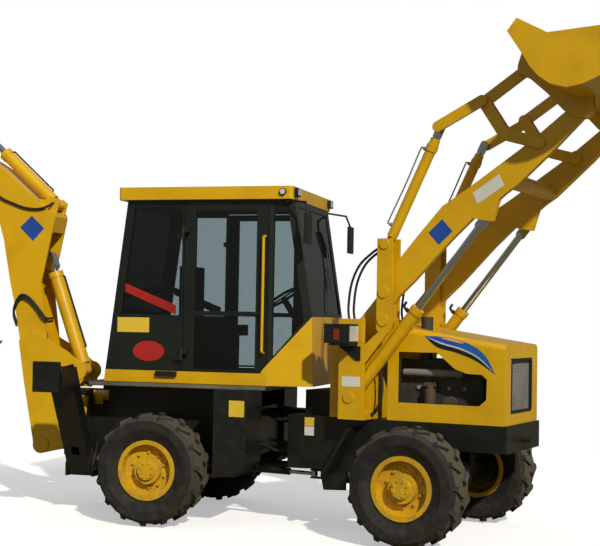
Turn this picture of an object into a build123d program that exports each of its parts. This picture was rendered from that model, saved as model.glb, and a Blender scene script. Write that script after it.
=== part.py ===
from build123d import *
import os
from math import atan2, cos, degrees, hypot, pi, radians, sin, tan

os.makedirs("parts", exist_ok=True)

# Articulated backhoe loader, in millimetres. +X forward, +Y to the machine's left, +Z up.
# The origin is on the ground under the articulation pin. The rear half stands along X, and the
# front half is drawn straight ahead and then turned about the pin by the steering angle.
steer_angle = -12.3

# Wheels and axles
tyre_radius = 530.0
tyre_width = 400.0
tyre_crown = 290.0
tyre_tread_radius = 494.0
tyre_facets = 24
lugs_per_side = 15
lug_slant = 30.0
lug_start = 22.0
lug_reach = 188.0
lug_shoulder = 140.0
lug_width = 46.0
lug_shoulder_top = 520.0
lug_foot = 478.0
lug_tip_foot = 450.0
bead_radius = 262.0
rim_radius = 254.0
rim_wall = 14.0
rim_flange_radius = 281.0
rim_flange_width = 16.0
rim_width = 330.0
disc_depth = 90.0
disc_thickness = 16.0
disc_bore_radius = 70.0
hub_radius = 128.0
hub_length = 96.0
hub_cap_radius = 88.0
hub_cap_length = 28.0
wheel_centre_y = 935.0
front_axle_x = 1700.0
rear_axle_x = -1050.0
axle_tube_radius = 88.0
axle_drum_radius = 165.0
axle_drum_length = 110.0
spindle_radius = 60.0
spindle_length = 70.0
differential_radius = 195.0
differential_length = 230.0
axle_pad_half_x = 120.0
running_gap = 0.05
side_gap = 6.0

# Rear frame
frame_half_width = 400.0
frame_plate = 25.0
rear_frame_front_x = -200.0
rear_frame_rear_x = -2115.0
rear_frame_bottom = 640.0
rear_frame_top = 1230.0
frame_step_x = -1750.0
frame_step_z = 1075.0
deck_front_x = 15.0
deck_rear_x = -1830.0
deck_half_width = 790.0
deck_thickness = 42.0
deck_top = 1330.0
tank_front_x = -150.0
tank_rear_x = -475.0
tank_outer_y = 880.0
tank_bottom = 480.0
tank_chamfer = 110.0

# Articulation
pin_radius = 35.0
lug_radius = 95.0
lug_thickness = 40.0
upper_lug_z = 1000.0
lower_lug_z = 660.0

# Front frame
front_frame_rear_x = 250.0
front_frame_front_x = 2400.0
front_frame_half_width = 455.0
front_frame_bottom = 560.0
front_frame_top = 1060.0
valve_rear_x = 330.0
valve_front_x = 690.0
valve_half_width = 250.0
valve_top = 1290.0
mudguard_half_width = 690.0
skirt_bottom = 818.0
skirt_rear_x = 1190.0
skirt_half_width = 468.0
bumper_front_x = 2430.0
bumper_thickness = 60.0
belly_front_x = 1010.0
belly_bottom = 430.0
belly_half_width = 300.0
housing_rear_x = 705.0
housing_top = 1730.0
housing_half_width = 480.0

tow_ear = 94.0
tow_z = 900.0
tow_bore_radius = 16.0

# Steering cylinders, in plan, hung under the two frames
steer_base = (-330.0, 230.0)
steer_eye = (480.0, 330.0)
steer_z = 500.0
steer_radius = 34.0
steer_rod_radius = 19.0
steer_pin_radius = 20.0
steer_barrel_length = 480.0
steer_rod_length = 559.0

# Engine and hood
hood_rear_x = 1285.0
hood_front_x = 2405.0
hood_half_width = 470.0
hood_rear_top = 1945.0
hood_break_x = 1590.0
hood_break_top = 1890.0
hood_front_top = 1772.0
hood_sheet = 6.0
hood_edge_radius = 55.0
grille_half_width = 300.0
grille_bottom = 1160.0
grille_top = 1650.0
grille_depth = 40.0
grille_radius = 35.0
engine_rear_x = 1330.0
engine_front_x = 2130.0
engine_half_width = 250.0
engine_top = 1620.0
radiator_rear_x = 2190.0
radiator_front_x = 2330.0
radiator_half_width = 360.0
radiator_top = 1690.0
intake_x = 1560.0
intake_y = -200.0
intake_radius = 55.0
intake_top = 2010.0

# Loader towers
tower_inner_y = 480.0
tower_plate = 28.0
tower_gap = 37.0
arm_thickness = 60.0
strip_plate = 24.0
lamp_depth = 190.0
column_rear_x = 880.0
column_front_x = 1135.0
column_top = 1980.0
shelf_front_x = 1015.0
strip_rear_x = 1250.0
strip_front_x = 1403.0
strip_bottom = 1842.0
strip_top = 2712.0

# Loader linkage, side view places in X and Z
arm_pivot = (1317.0, 1969.0)
bucket_pin = (3110.0, 3790.0)
rocker_arm_pin = (2737.0, 3517.0)
rocker_lever_pin = (2226.0, 3909.0)
lever_rod_pin = (1816.0, 3702.0)
lever_bucket_pin = (2600.0, 4160.0)
tilt_base_pin = (1322.0, 2660.0)
lift_base_pin = (985.0, 1262.0)
lift_rod_pin = (2258.0, 2895.0)
upper_boss = (1319.0, 2223.0)
arm_pin_radius = 32.0
link_pin_radius = 28.0
rocker_plate = 20.0
rocker_depth = 100.0
lever_thickness = 48.0
crank_thickness = 30.0
lever_depth = 96.0
eye_slot = 32.0
rod_eye = 28.0
lift_barrel_radius = 57.0
lift_barrel_length = 1040.0
lift_rod_radius = 32.0
lift_rod_start = 915.0
tilt_barrel_radius = 48.0
tilt_barrel_length = 985.0
tilt_rod_radius = 26.0
cylinder_wall = 9.0
gland_length = 60.0
gland_extra = 7.0
eye_length = 78.0
cross_tube_radius = 72.0
bucket_half_width = 1120.0
bucket_sheet = 14.0
bucket_side_sheet = 18.0
lug_plate = 20.0

# Cab
cab_half_width = 670.0
cab_rear_x = -1690.0
cab_rear_top_x = -1475.0
cab_front_x = 412.0
cab_waist_x = 395.0
cab_front_top_x = 215.0
cab_nose_half_width = 600.0
cab_sill_top = 1444.0
cab_top = 3100.0
waist_z = 1990.0
post_size = 60.0
cab_wall = 40.0
floor_top = 1345.0
roof_rear_x = -1554.0
roof_front_x = 219.0
roof_half_width = 728.0
roof_thickness = 123.0
roof_radius = 38.0
glass_thickness = 6.0
glass_inset = 12.0
door_rear_x = -880.0
door_front_x = -25.0
door_thickness = 36.0
door_gap = 6.0
door_hinge_offset = 40.0
hinge_radius = 11.0
seat_x = -760.0
seat_half_width = 250.0
seat_top = 1900.0
seat_base_top = 1790.0
seat_base_half = 180.0
seat_back = 100.0
seat_back_top = 2480.0
console_x = 120.0
console_half_width = 260.0
console_top = 1960.0
steering_radius = 190.0
grip_radius = 15.0
rear_post = 85.0
window_top = 3035.0
quarter_sill = 1985.0
middle_rail_low = 1985.0
middle_rail_high = 2030.0
door_post = 120.0
lamp_size = 80.0

# Stabilisers
leg_x = -1990.0
swing_cylinder_front_x = -1770.0
swing_cylinder_rear_x = -2090.0
swing_cylinder_y = 290.0
swing_cylinder_z = 1160.0
swing_cylinder_radius = 52.0
leg_half_x = 122.0
leg_pivot_y = 470.0
leg_pivot_z = 430.0
leg_length = 1130.0
leg_lean = 27.0
leg_depth = 150.0
foot_half_x = 140.0
foot_centre_x = -2040.0
foot_height = 290.0
foot_thickness = 26.0
foot_y = 1215.0
leg_pin_radius = 30.0
leg_eye_reach = 300.0
leg_cylinder_y = 450.0
leg_cylinder_z = 1185.0
leg_barrel_radius = 46.0
leg_rod_radius = 24.0
leg_root_depth = 120.0
leg_wall = 16.0

# Backhoe, side view places in X and Z
swing_x = -2330.0
swing_pin_radius = 38.0
swing_lug_radius = 85.0
swing_low_z = 520.0
swing_high_z = 1150.0
swing_lug_height = 60.0
boom_half_width = 150.0
boom_plate = 22.0
post_plate = 24.0
boom_foot = (-2600.0, 622.0)
boom_cylinder_base = (-2205.0, 1392.0)
boom_cylinder_eye = (-2640.0, 2590.0)
boom_tip = (-3668.0, 3726.0)
boom_pin_radius = 35.0
boom_barrel_radius = 74.0
boom_barrel_length = 1085.0
boom_rod_radius = 36.0
crowd_base = (-2560.0, 3118.0)
crowd_barrel_radius = 66.0
crowd_barrel_length = 850.0
crowd_rod_radius = 34.0
dipper_lean = 10.0
dipper_nose = 335.0
dipper_length = 1500.0
dipper_half_width = 110.0
dipper_depth = 210.0
dipper_plate = 20.0
tipper_reach = 260.0
tipper_length = 260.0
ear_reach = 210.0
link_length = 280.0
ear_angle = 145.0
hoe_base_reach = dipper_length - 250.0
hoe_base_offset = 205.0
hoe_barrel_radius = 50.0
hoe_barrel_length = 640.0
hoe_rod_radius = 27.0
hoe_bucket_half_width = 300.0
hoe_bucket_side = 16.0
tooth_count = 5
tooth_width = 60.0
hoe_pin_radius = 28.0
hoe_outer_y = 136.0
hoe_plate = 20.0
hoe_eye_width = 88.0
hoe_rod_start = 480.0
tipper_angle = 129.1
crowd_eye_width = 150.0
crowd_rod_eye = 60.0
crowd_pin_radius = 32.0
crowd_rod_start = 500.0
boom_eye_width = 110.0


# Small helpers: solids drawn by their side outline, as rounds and as straight bars
def slab(points, y0, y1):
    section = Plane((0, y1, 0), x_dir=(1, 0, 0), z_dir=(0, -1, 0)) * Polygon(*points, align=None)
    return extrude(section, amount=y1 - y0, dir=(0, -1, 0))


def front_slab(points, x0, x1):
    section = Plane((x0, 0, 0), x_dir=(0, 1, 0), z_dir=(1, 0, 0)) * Polygon(*points, align=None)
    return extrude(section, amount=x1 - x0, dir=(1, 0, 0))


def block(x0, x1, y0, y1, z0, z1):
    return Pos((x0 + x1) / 2, (y0 + y1) / 2, (z0 + z1) / 2) * Box(x1 - x0, y1 - y0, z1 - z0)


def disc(place, radius, y0, y1):
    return Pos(place[0], (y0 + y1) / 2, place[1]) * Rot(90, 0, 0) * Cylinder(radius, y1 - y0)


def post(x, y, radius, z0, z1):
    return Pos(x, y, (z0 + z1) / 2) * Cylinder(radius, z1 - z0)


def bar(start, end, radius):
    run = Vector(*end) - Vector(*start)
    base = Plane(origin=start, z_dir=run)
    return base * Cylinder(radius, run.length, align=(Align.CENTER, Align.CENTER, Align.MIN))


def both_sides(shape):
    return shape + mirror(shape, about=Plane.XZ)


def turned(shape):
    return Rot(0, 0, steer_angle) * shape


def polar(centre, reach, angle):
    return (centre[0] + reach * cos(radians(angle)), centre[1] + reach * sin(radians(angle)))


def heading(start, end):
    return degrees(atan2(end[1] - start[1], end[0] - start[0]))


def span(start, end):
    return hypot(end[0] - start[0], end[1] - start[1])


# A link plate: rounds at each pin joined by a straight band, in side view
def link(start, end, depth, y0, y1):
    angle = heading(start, end)
    corners = [
        polar(start, depth / 2, angle + 90),
        polar(start, depth / 2, angle - 90),
        polar(end, depth / 2, angle - 90),
        polar(end, depth / 2, angle + 90),
    ]
    return slab(corners, y0, y1) + disc(start, depth / 2, y0, y1) + disc(end, depth / 2, y0, y1)


def save(name, shape):
    export_step(shape, "parts/" + name + ".step")


# A cylinder's barrel and rod in side view: the barrel is bored, and the rod slides in it
def barrel(base, tip, radius, bore, length, y0, y1):
    y = (y0 + y1) / 2
    angle = heading(base, tip)
    start = polar(base, eye_length, angle)
    end = polar(base, length, angle)
    gland = polar(base, length - gland_length, angle)
    body = bar((start[0], y, start[1]), (end[0], y, end[1]), radius)
    body += bar((gland[0], y, gland[1]), (end[0], y, end[1]), radius + gland_extra)
    body += link(base, start, radius * 1.3, y0, y1)
    floor = polar(base, eye_length + cylinder_wall * 2, angle)
    body -= bar((floor[0], y, floor[1]), (end[0], y, end[1]), bore + running_gap)
    return body


def rod(base, tip, radius, length, eye_width, y):
    angle = heading(base, tip)
    start = polar(base, length, angle)
    neck = polar(tip, -radius * 3.0, angle)
    shaft = bar((start[0], y, start[1]), (neck[0], y, neck[1]), radius)
    return shaft + link(polar(neck, -4.0, angle), tip, radius * 2.9, y - eye_width / 2, y + eye_width / 2)


# Wheels: a tyre and a disc wheel with its hub, drawn about the Y axis with the outer face to -Y
def tyre_lug():
    slant = radians(lug_slant)
    along = (0, cos(slant), sin(slant))
    across = (0, sin(slant), -cos(slant))
    start = Plane(origin=(0, lug_start, -lug_reach * sin(slant) / 2), x_dir=along, z_dir=across)
    corner = (lug_reach * sin(slant) + lug_width * cos(slant)) / 2
    outline = [
        (0, lug_foot),
        (0, (tyre_radius ** 2 - corner ** 2) ** 0.5),
        (lug_shoulder, lug_shoulder_top),
        (lug_reach, lug_tip_foot),
    ]
    return start * extrude(Polygon(*outline, align=None), lug_width / 2, both=True)


def tyre_solid():
    half = tyre_width / 2
    bead_half = rim_width / 2 - rim_flange_width
    side = [
        (bead_radius, bead_half),
        (rim_flange_radius + 2.0, bead_half),
        (tyre_radius * 0.72, half),
        (tyre_radius * 0.87, half - 8.0),
        (tyre_tread_radius, tyre_crown / 2),
    ]
    outline = [(r, -y) for r, y in side] + [(r, y) for r, y in reversed(side)]
    spread = tyre_radius * tan(pi / tyre_facets)
    wedge = extrude(Plane.XZ * Polygon((0, 0), (tyre_radius, -spread), (tyre_radius, spread), align=None),
                    tyre_width, both=True)
    facet = extrude(Polygon(*outline, align=None), spread, both=True) & wedge
    step = 360.0 / tyre_facets
    pieces = [Rot(0, step * index, 0) * facet for index in range(tyre_facets)]
    near_lug = tyre_lug()
    far_lug = mirror(near_lug, Plane.XZ)
    slant = radians(lug_slant)
    corner = (lug_reach * sin(slant) + lug_width * cos(slant)) / 2
    lowest = degrees(atan2((tyre_radius ** 2 - corner ** 2) ** 0.5, corner))
    pitch = 360.0 / lugs_per_side
    for index in range(lugs_per_side):
        pieces.append(Rot(0, lowest + pitch * index, 0) * near_lug)
        pieces.append(Rot(0, lowest + pitch * (index + 0.5), 0) * far_lug)
    return Part() + pieces


def rim_solid():
    half = rim_width / 2
    flange = half - rim_flange_width
    inner = rim_radius - rim_wall
    barrel_outline = [
        (inner, -half), (rim_flange_radius, -half), (rim_flange_radius, -flange), (rim_radius, -flange),
        (rim_radius, flange), (rim_flange_radius, flange), (rim_flange_radius, half), (inner, half),
    ]
    wheel = revolve(Polygon(*barrel_outline, align=None), axis=Axis.Y, revolution_arc=360)
    face = -half + disc_depth
    wheel += disc((0, 0), inner + 2.0, face, face + disc_thickness)
    wheel += disc((0, 0), hub_radius, face - hub_length + hub_cap_length, face)
    wheel += disc((0, 0), hub_cap_radius, face - hub_length, face)
    bore_end = face - spindle_length + disc_thickness
    wheel -= disc((0, 0), spindle_radius + running_gap, bore_end, face + disc_thickness)
    return wheel


def axle_solid(x, frame_bottom):
    z = tyre_radius
    face = wheel_centre_y + rim_width / 2 - disc_depth
    drum_end = face - disc_thickness - side_gap
    spindle_end = face - disc_thickness + spindle_length - side_gap
    side = disc((x, z), axle_drum_radius, drum_end - axle_drum_length, drum_end)
    side += disc((x, z), spindle_radius, drum_end - 5.0, spindle_end)
    beam = both_sides(side)
    beam += disc((x, z), axle_tube_radius, -drum_end, drum_end)
    beam += Pos(x, 0, z) * Rot(90, 0, 0) * Cylinder(differential_radius, differential_length)
    pad_outer = frame_half_width
    pad = block(x - axle_pad_half_x, x + axle_pad_half_x, pad_outer - 130.0, pad_outer, z, frame_bottom)
    return beam + both_sides(pad)


tyre = tyre_solid()
rim = rim_solid()
wheel_places = {
    # name: axle x, side, on the front frame
    "front_right": (front_axle_x, -1, True),
    "front_left": (front_axle_x, 1, True),
    "rear_right": (rear_axle_x, -1, False),
    "rear_left": (rear_axle_x, 1, False),
}
for wheel_name, (axle_x, side, on_front) in wheel_places.items():
    for piece_name, piece in (("tyre", tyre), ("wheel", rim)):
        shape = piece if side < 0 else mirror(piece, about=Plane.XZ)
        shape = Pos(axle_x, side * wheel_centre_y, tyre_radius) * shape
        save(piece_name + "_" + wheel_name, turned(shape) if on_front else shape)

# Rear frame: two side plates, cross boxes, hinge lugs and the stabiliser crossmember
half = frame_half_width
side_plate = [
    (rear_frame_front_x, rear_frame_bottom), (rear_frame_front_x, upper_lug_z + 100.0),
    (rear_frame_front_x - 200.0, rear_frame_top), (frame_step_x, rear_frame_top),
    (frame_step_x, frame_step_z), (rear_frame_rear_x, frame_step_z),
    (rear_frame_rear_x, rear_frame_bottom - 160.0), (leg_x + leg_half_x + 60.0, rear_frame_bottom - 160.0),
    (leg_x + leg_half_x + 200.0, rear_frame_bottom),
]
rear_frame = both_sides(slab(side_plate, half - frame_plate, half))
rear_frame += block(rear_frame_front_x - frame_plate, rear_frame_front_x, -half, half,
                    rear_frame_bottom, upper_lug_z + 100.0)
rear_frame += block(rear_frame_rear_x, rear_frame_rear_x + frame_plate, -half, half,
                    rear_frame_bottom - 160.0, frame_step_z)
rear_frame += block(frame_step_x, rear_frame_front_x - 200.0, -half, half,
                    rear_frame_top - frame_plate, rear_frame_top)
rear_frame += block(frame_step_x, frame_step_x + frame_plate, -half, half, frame_step_z - 5.0, rear_frame_top)
rear_frame += block(rear_frame_rear_x, frame_step_x + 5.0, -half, half, frame_step_z - frame_plate,
                    frame_step_z)
rear_frame += block(rear_frame_rear_x, frame_step_x + 5.0, -swing_lug_radius, swing_lug_radius,
                    frame_step_z - 5.0,
                    swing_high_z + swing_lug_height)
for lug_z in (upper_lug_z, lower_lug_z):
    lug = block(rear_frame_front_x - 5.0, 0, -lug_radius, lug_radius, lug_z, lug_z + lug_thickness)
    lug += post(0, 0, lug_radius, lug_z, lug_z + lug_thickness)
    lug -= post(0, 0, pin_radius + running_gap, lug_z - 1.0, lug_z + lug_thickness + 1.0)
    rear_frame += lug
# Stabiliser boxes hang outside the side plates, each a pair of plates with the leg between them
ear = [
    (half - 5.0, leg_pivot_z - 60.0), (leg_pivot_y + 70.0, leg_pivot_z - 60.0),
    (leg_pivot_y + 70.0, leg_pivot_z + 60.0), (half + 30.0, leg_pivot_z + 280.0), (half - 5.0,
                                                                                   leg_pivot_z + 280.0),
]
for ear_x in (leg_x - leg_half_x - side_gap - frame_plate, leg_x + leg_half_x + side_gap):
    rear_frame += both_sides(front_slab(ear, ear_x, ear_x + frame_plate))
rear_frame += block(leg_x - leg_half_x - side_gap - frame_plate, rear_frame_rear_x + 5.0, -half, half,
                    leg_pivot_z - 60.0, leg_pivot_z + 280.0)
rear_frame += block(leg_x + leg_half_x + side_gap, leg_x + leg_half_x + side_gap + frame_plate, -half, half,
                    leg_pivot_z - 60.0, rear_frame_bottom)
# Swing hinge lugs at the back
for lug_z in (swing_low_z, swing_high_z):
    lug = block(swing_x, rear_frame_rear_x + 5.0, -swing_lug_radius, swing_lug_radius, lug_z,
                lug_z + swing_lug_height)
    lug += post(swing_x, 0, swing_lug_radius, lug_z, lug_z + swing_lug_height)
    lug -= post(swing_x, 0, swing_pin_radius + running_gap, lug_z - 1.0, lug_z + swing_lug_height + 1.0)
    rear_frame += lug

# Deck plate under the cab, with its edges turned down
deck = block(deck_rear_x, deck_front_x, -deck_half_width, deck_half_width, deck_top - deck_thickness,
             deck_top)
deck += both_sides(block(rear_frame_rear_x + 300.0, rear_frame_front_x - 220.0, half - 120.0, half,
                         rear_frame_top, deck_top - deck_thickness))
rear_frame += deck

# Side tanks in front of the rear wheels
tank_outline = [
    (tank_rear_x, tank_bottom), (tank_front_x - tank_chamfer, tank_bottom),
    (tank_front_x, tank_bottom + tank_chamfer), (tank_front_x, deck_top - deck_thickness),
    (tank_rear_x, deck_top - deck_thickness),
]
save("side_tanks", both_sides(slab(tank_outline, half, tank_outer_y)))

# Rear axle
save("rear_axle", axle_solid(rear_axle_x, rear_frame_bottom))
save("front_axle", turned(axle_solid(front_axle_x, skirt_bottom)))

# Cab: one shell cut into the yellow cowl with its sill and the dark frame, then windows and doors
def cab_solid(inset):
    side = [
        (cab_rear_x + inset, deck_top - 10.0 * (inset > 0)), (cab_front_x - inset,
                                                              deck_top - 10.0 * (inset > 0)),
        (cab_waist_x - inset, waist_z), (cab_front_top_x - inset, cab_top + 10.0 * (inset > 0)),
        (cab_rear_top_x + inset, cab_top + 10.0 * (inset > 0)),
    ]
    width = cab_half_width - inset
    nose = cab_nose_half_width - inset
    plan = Polygon((cab_rear_x, -width), (door_front_x, -width), (cab_front_x, -nose), (cab_front_x, nose),
                   (door_front_x, width), (cab_rear_x, width), align=None)
    column = extrude(Plane.XY.offset(deck_top - 20.0) * plan, amount=cab_top - deck_top + 40.0, dir=(0, 0, 1))
    return slab(side, -width, width) & column


def cowl_edge(x):
    low = (door_front_x - 55.0, cab_sill_top + 20.0)
    return low[1] + (x - low[0]) * (waist_z - low[1]) / (cab_waist_x - low[0])


cowl_side = [
    (cab_rear_x - 50.0, deck_top - 50.0), (cab_front_x + 50.0, deck_top - 50.0), (cab_front_x + 50.0,
                                                                                  waist_z),
    (cab_waist_x, waist_z), (door_front_x - 55.0, cab_sill_top + 20.0), (door_front_x - 55.0, cab_sill_top),
    (cab_rear_x - 50.0, cab_sill_top),
]
wide = cab_half_width + 50.0
outer_cab = cab_solid(0.0)
cab_shell = outer_cab - cab_solid(cab_wall)
cowl_region = slab(cowl_side, -wide, wide)
cab_floor = outer_cab & block(cab_rear_x, cab_front_x, -wide, wide, deck_top, floor_top)
cowl = (cab_shell & cowl_region) + cab_floor
cab_frame = cab_shell - cowl_region


# Window outlines in side view, and the windscreen and rear window in front view
def rear_edge_x(z):
    return cab_rear_x + (cab_rear_top_x - cab_rear_x) * (z - deck_top) / (cab_top - deck_top)


def front_edge_x(z):
    return cab_waist_x + (cab_front_top_x - cab_waist_x) * (z - waist_z) / (cab_top - waist_z)


quarter_window = [
    (rear_edge_x(quarter_sill) + rear_post, quarter_sill), (door_rear_x - 20.0, quarter_sill),
    (door_rear_x - 20.0, window_top), (rear_edge_x(window_top) + rear_post, window_top),
]
front_quarter = [
    (door_front_x + 48.0, cowl_edge(door_front_x + 48.0) + 20.0),
    (front_edge_x(waist_z) - 75.0, waist_z - 45.0),
    (front_edge_x(window_top) - 75.0, window_top), (door_front_x + 48.0, window_top),
]
door_region = [
    (door_rear_x, cab_sill_top), (door_front_x - 55.0, cab_sill_top),
    (door_front_x - 55.0, cab_sill_top + 20.0), (door_front_x, cowl_edge(door_front_x)),
    (door_front_x, window_top + 35.0), (door_rear_x, window_top + 35.0),
]
windscreen_half = cab_nose_half_width - 55.0
rear_window_half = cab_half_width - 110.0
screen = block(front_edge_x(waist_z) - 260.0, cab_front_x + 50.0, -windscreen_half, windscreen_half,
               waist_z + 30.0, window_top)
rear_screen = block(cab_rear_x - 50.0, cab_rear_top_x + 80.0, -rear_window_half, rear_window_half,
                    quarter_sill, window_top)
openings = slab(quarter_window, -wide, wide) + slab(front_quarter, -wide, wide) + screen + rear_screen
door_hole = slab(door_region, -wide, -cab_half_width + cab_wall + 10.0)
both_door_holes = both_sides(door_hole)
cab_frame = cab_frame - openings - both_door_holes
pane_shell = cab_solid(glass_inset) - cab_solid(glass_inset + glass_thickness)
cab_glass = pane_shell & openings
save("cab_glass", cab_glass)

# Doors: a framed leaf with two panes, hung at its rear edge on outboard knuckles
shrunk_door = [
    (door_rear_x + door_gap, cab_sill_top + door_gap),
    (door_front_x - 55.0 - door_gap, cab_sill_top + door_gap),
    (door_front_x - 55.0 - door_gap, cab_sill_top + 20.0 + door_gap),
    (door_front_x - door_gap, cowl_edge(door_front_x) + door_gap),
    (door_front_x - door_gap, window_top + 35.0 - door_gap),
    (door_rear_x + door_gap, window_top + 35.0 - door_gap),
]
leaf_shell = outer_cab - cab_solid(door_thickness)
leaf = leaf_shell & slab(shrunk_door, -wide, -cab_half_width + cab_wall + 10.0)
pane_rear = door_rear_x + door_post
pane_front = door_front_x - door_post
upper_pane = slab([(pane_rear, middle_rail_high), (pane_front, middle_rail_high),
                   (pane_front, window_top - 35.0),
                   (pane_rear, window_top - 35.0)], -wide, 0)
lower_pane = slab([(pane_rear, cab_sill_top + 25.0), (pane_front, cab_sill_top + 25.0),
                   (pane_front, middle_rail_low), (pane_rear, middle_rail_low)], -wide, 0)
panes = (upper_pane + lower_pane) & pane_shell
leaf -= upper_pane + lower_pane
hinge_y = -cab_half_width - door_hinge_offset
for hinge_z in (cab_sill_top + 160.0, window_top - 260.0):
    knuckle = post(door_rear_x, hinge_y, hinge_radius * 2, hinge_z + 1.0, hinge_z + 70.0)
    knuckle += block(door_rear_x + 2.0, door_rear_x + 60.0, hinge_y - 8.0, hinge_y + 8.0, hinge_z + 6.0,
                     hinge_z + 70.0)
    knuckle += block(door_rear_x + 40.0, door_rear_x + 60.0, hinge_y - 8.0, -cab_half_width + 5.0,
                     hinge_z + 6.0, hinge_z + 70.0)
    knuckle -= post(door_rear_x, hinge_y, hinge_radius + running_gap, hinge_z - 1.0, hinge_z + 80.0)
    leaf += knuckle
    carrier = post(door_rear_x, hinge_y, hinge_radius * 2, hinge_z - 50.0, hinge_z)
    carrier += post(door_rear_x, hinge_y, hinge_radius, hinge_z - 50.0, hinge_z + 70.0)
    carrier += block(door_rear_x - 60.0, door_rear_x, hinge_y - 8.0, hinge_y + 8.0, hinge_z - 50.0, hinge_z)
    carrier += block(door_rear_x - 60.0, door_rear_x - 30.0, hinge_y - 8.0, -cab_half_width + 5.0,
                     hinge_z - 50.0, hinge_z)
    cab_frame += both_sides(carrier)
for side_name, side in (("right", -1), ("left", 1)):
    save("door_" + side_name, leaf if side < 0 else mirror(leaf, about=Plane.XZ))
    save("door_glass_" + side_name, panes if side < 0 else mirror(panes, about=Plane.XZ))
save("cab_cowl", cowl)
save("cab_frame", cab_frame)

# Roof with its lamps, mirrors and the grab rails
roof = block(roof_rear_x, roof_front_x, -roof_half_width, roof_half_width, cab_top, cab_top + roof_thickness)
roof = fillet(roof.edges().filter_by(Axis.Z), roof_radius)
save("cab_roof", roof)
lamp_z = cab_top + roof_thickness * 0.55
lamps = block(roof_front_x, roof_front_x + lamp_size * 0.5, -roof_half_width + 50.0,
              -roof_half_width + 50.0 + lamp_size * 1.2, lamp_z - lamp_size / 2, lamp_z + lamp_size / 2)
lamps += disc((roof_front_x - 95.0, lamp_z), lamp_size * 0.42, -roof_half_width - 22.0, -roof_half_width)
lamps = both_sides(lamps)
mirror_arm_y = roof_half_width - 40.0
mirror_points = [
    (roof_front_x - 60.0, mirror_arm_y, cab_top - 12.0), (roof_front_x + 150.0, mirror_arm_y + 120.0,
                                                          cab_top - 40.0),
    (roof_front_x + 190.0, mirror_arm_y + 170.0, cab_top - 160.0),
]
mirror_arm = bar(mirror_points[0], mirror_points[1], 10.0) + bar(mirror_points[1], mirror_points[2], 10.0)
mirror_arm += Pos(*mirror_points[1]) * Sphere(10.0)
mirror_arm += post(mirror_points[0][0], mirror_points[0][1], 22.0, cab_top - 30.0, cab_top)
head = Pos(mirror_points[2][0], mirror_points[2][1], cab_top - 290.0) * Box(32.0, 170.0, 280.0)
save("roof_fittings", both_sides(mirror_arm + head) + lamps)

# Driver's place: seat, console with the steering wheel
seat = block(seat_x - seat_half_width, seat_x + seat_half_width, -seat_half_width, seat_half_width,
             seat_base_top, seat_top)
seat += block(seat_x - seat_half_width - seat_back * 0.8, seat_x - seat_half_width + seat_back * 0.2,
              -seat_half_width + 20.0, seat_half_width - 20.0, seat_top - 60.0, seat_back_top)
seat += block(seat_x - seat_base_half, seat_x + seat_base_half, -seat_base_half, seat_base_half,
              floor_top, seat_base_top)
save("seat", seat)
console = block(console_x - 20.0, console_x + 180.0, -console_half_width, console_half_width,
                floor_top, console_top)
column_low = (console_x - 10.0, 0.0, console_top - 60.0)
column_high = (console_x - 190.0, 0.0, console_top + 220.0)
console += bar(column_low, column_high, 32.0)
wheel_plane = Plane(origin=column_high, z_dir=Vector(*column_high) - Vector(*column_low))
grip = [(steering_radius + grip_radius * cos(radians(60 * side)), grip_radius * sin(radians(60 * side)))
        for side in range(6)]
console += wheel_plane * revolve(Plane.XZ * Polygon(*grip, align=None), axis=Axis.Z, revolution_arc=360)
console += wheel_plane * Box(2 * steering_radius - 8.0, 34.0, 12.0)
save("console", console)

# Front frame: side plates, hinge clevises, the belly under the towers and the black skirt
half = front_frame_half_width
front_frame = both_sides(block(front_frame_rear_x, front_frame_front_x, half - frame_plate, half,
                               skirt_bottom, front_frame_top))
front_frame += both_sides(block(front_frame_rear_x, skirt_rear_x, half - frame_plate, half,
                                front_frame_bottom, skirt_bottom + 5.0))
front_frame += block(front_frame_rear_x, front_frame_rear_x + frame_plate, -half, half,
                     front_frame_bottom, front_frame_top)
front_frame += block(front_frame_rear_x, skirt_rear_x, -half, half, front_frame_bottom,
                     front_frame_bottom + frame_plate)
front_frame += block(front_frame_rear_x, hood_rear_x + 80.0, -half, half,
                     front_frame_top - frame_plate, front_frame_top)
front_frame += block(hood_rear_x, front_frame_front_x, half - 120.0, half, skirt_bottom,
                     skirt_bottom + frame_plate)
front_frame += block(hood_rear_x, front_frame_front_x, -half, -half + 120.0, skirt_bottom,
                     skirt_bottom + frame_plate)
for lug_z in (upper_lug_z, lower_lug_z):
    for leaf_z in (lug_z - side_gap - lug_thickness, lug_z + lug_thickness + side_gap):
        lug = block(0, front_frame_rear_x + 5.0, -lug_radius, lug_radius, leaf_z, leaf_z + lug_thickness)
        lug += post(0, 0, lug_radius, leaf_z, leaf_z + lug_thickness)
        front_frame += lug
    front_frame += post(0, 0, pin_radius, lug_z - side_gap - lug_thickness - 12.0,
                        lug_z + side_gap + 2 * lug_thickness + 12.0)
belly = [
    (belly_front_x - 290.0, front_frame_bottom + 5.0), (belly_front_x - 250.0, belly_bottom),
    (belly_front_x, belly_bottom), (belly_front_x, front_frame_bottom + 5.0),
]
front_frame += slab(belly, -belly_half_width, belly_half_width)
front_frame += block(valve_rear_x, valve_front_x, -valve_half_width, valve_half_width,
                     front_frame_top - 5.0, valve_top)
guard_foot = [(640.0, 600.0), (618.0, 470.0), (640.0, 372.0), (868.0, 384.0), (868.0, 600.0)]
front_frame += both_sides(slab(guard_foot, half - frame_plate, half))
mudguard = [(728.0, 560.0), (760.0, 545.0), (1010.0, 962.0), (982.0, 985.0)]
front_frame += both_sides(slab(mudguard, half - 5.0, mudguard_half_width))

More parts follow.
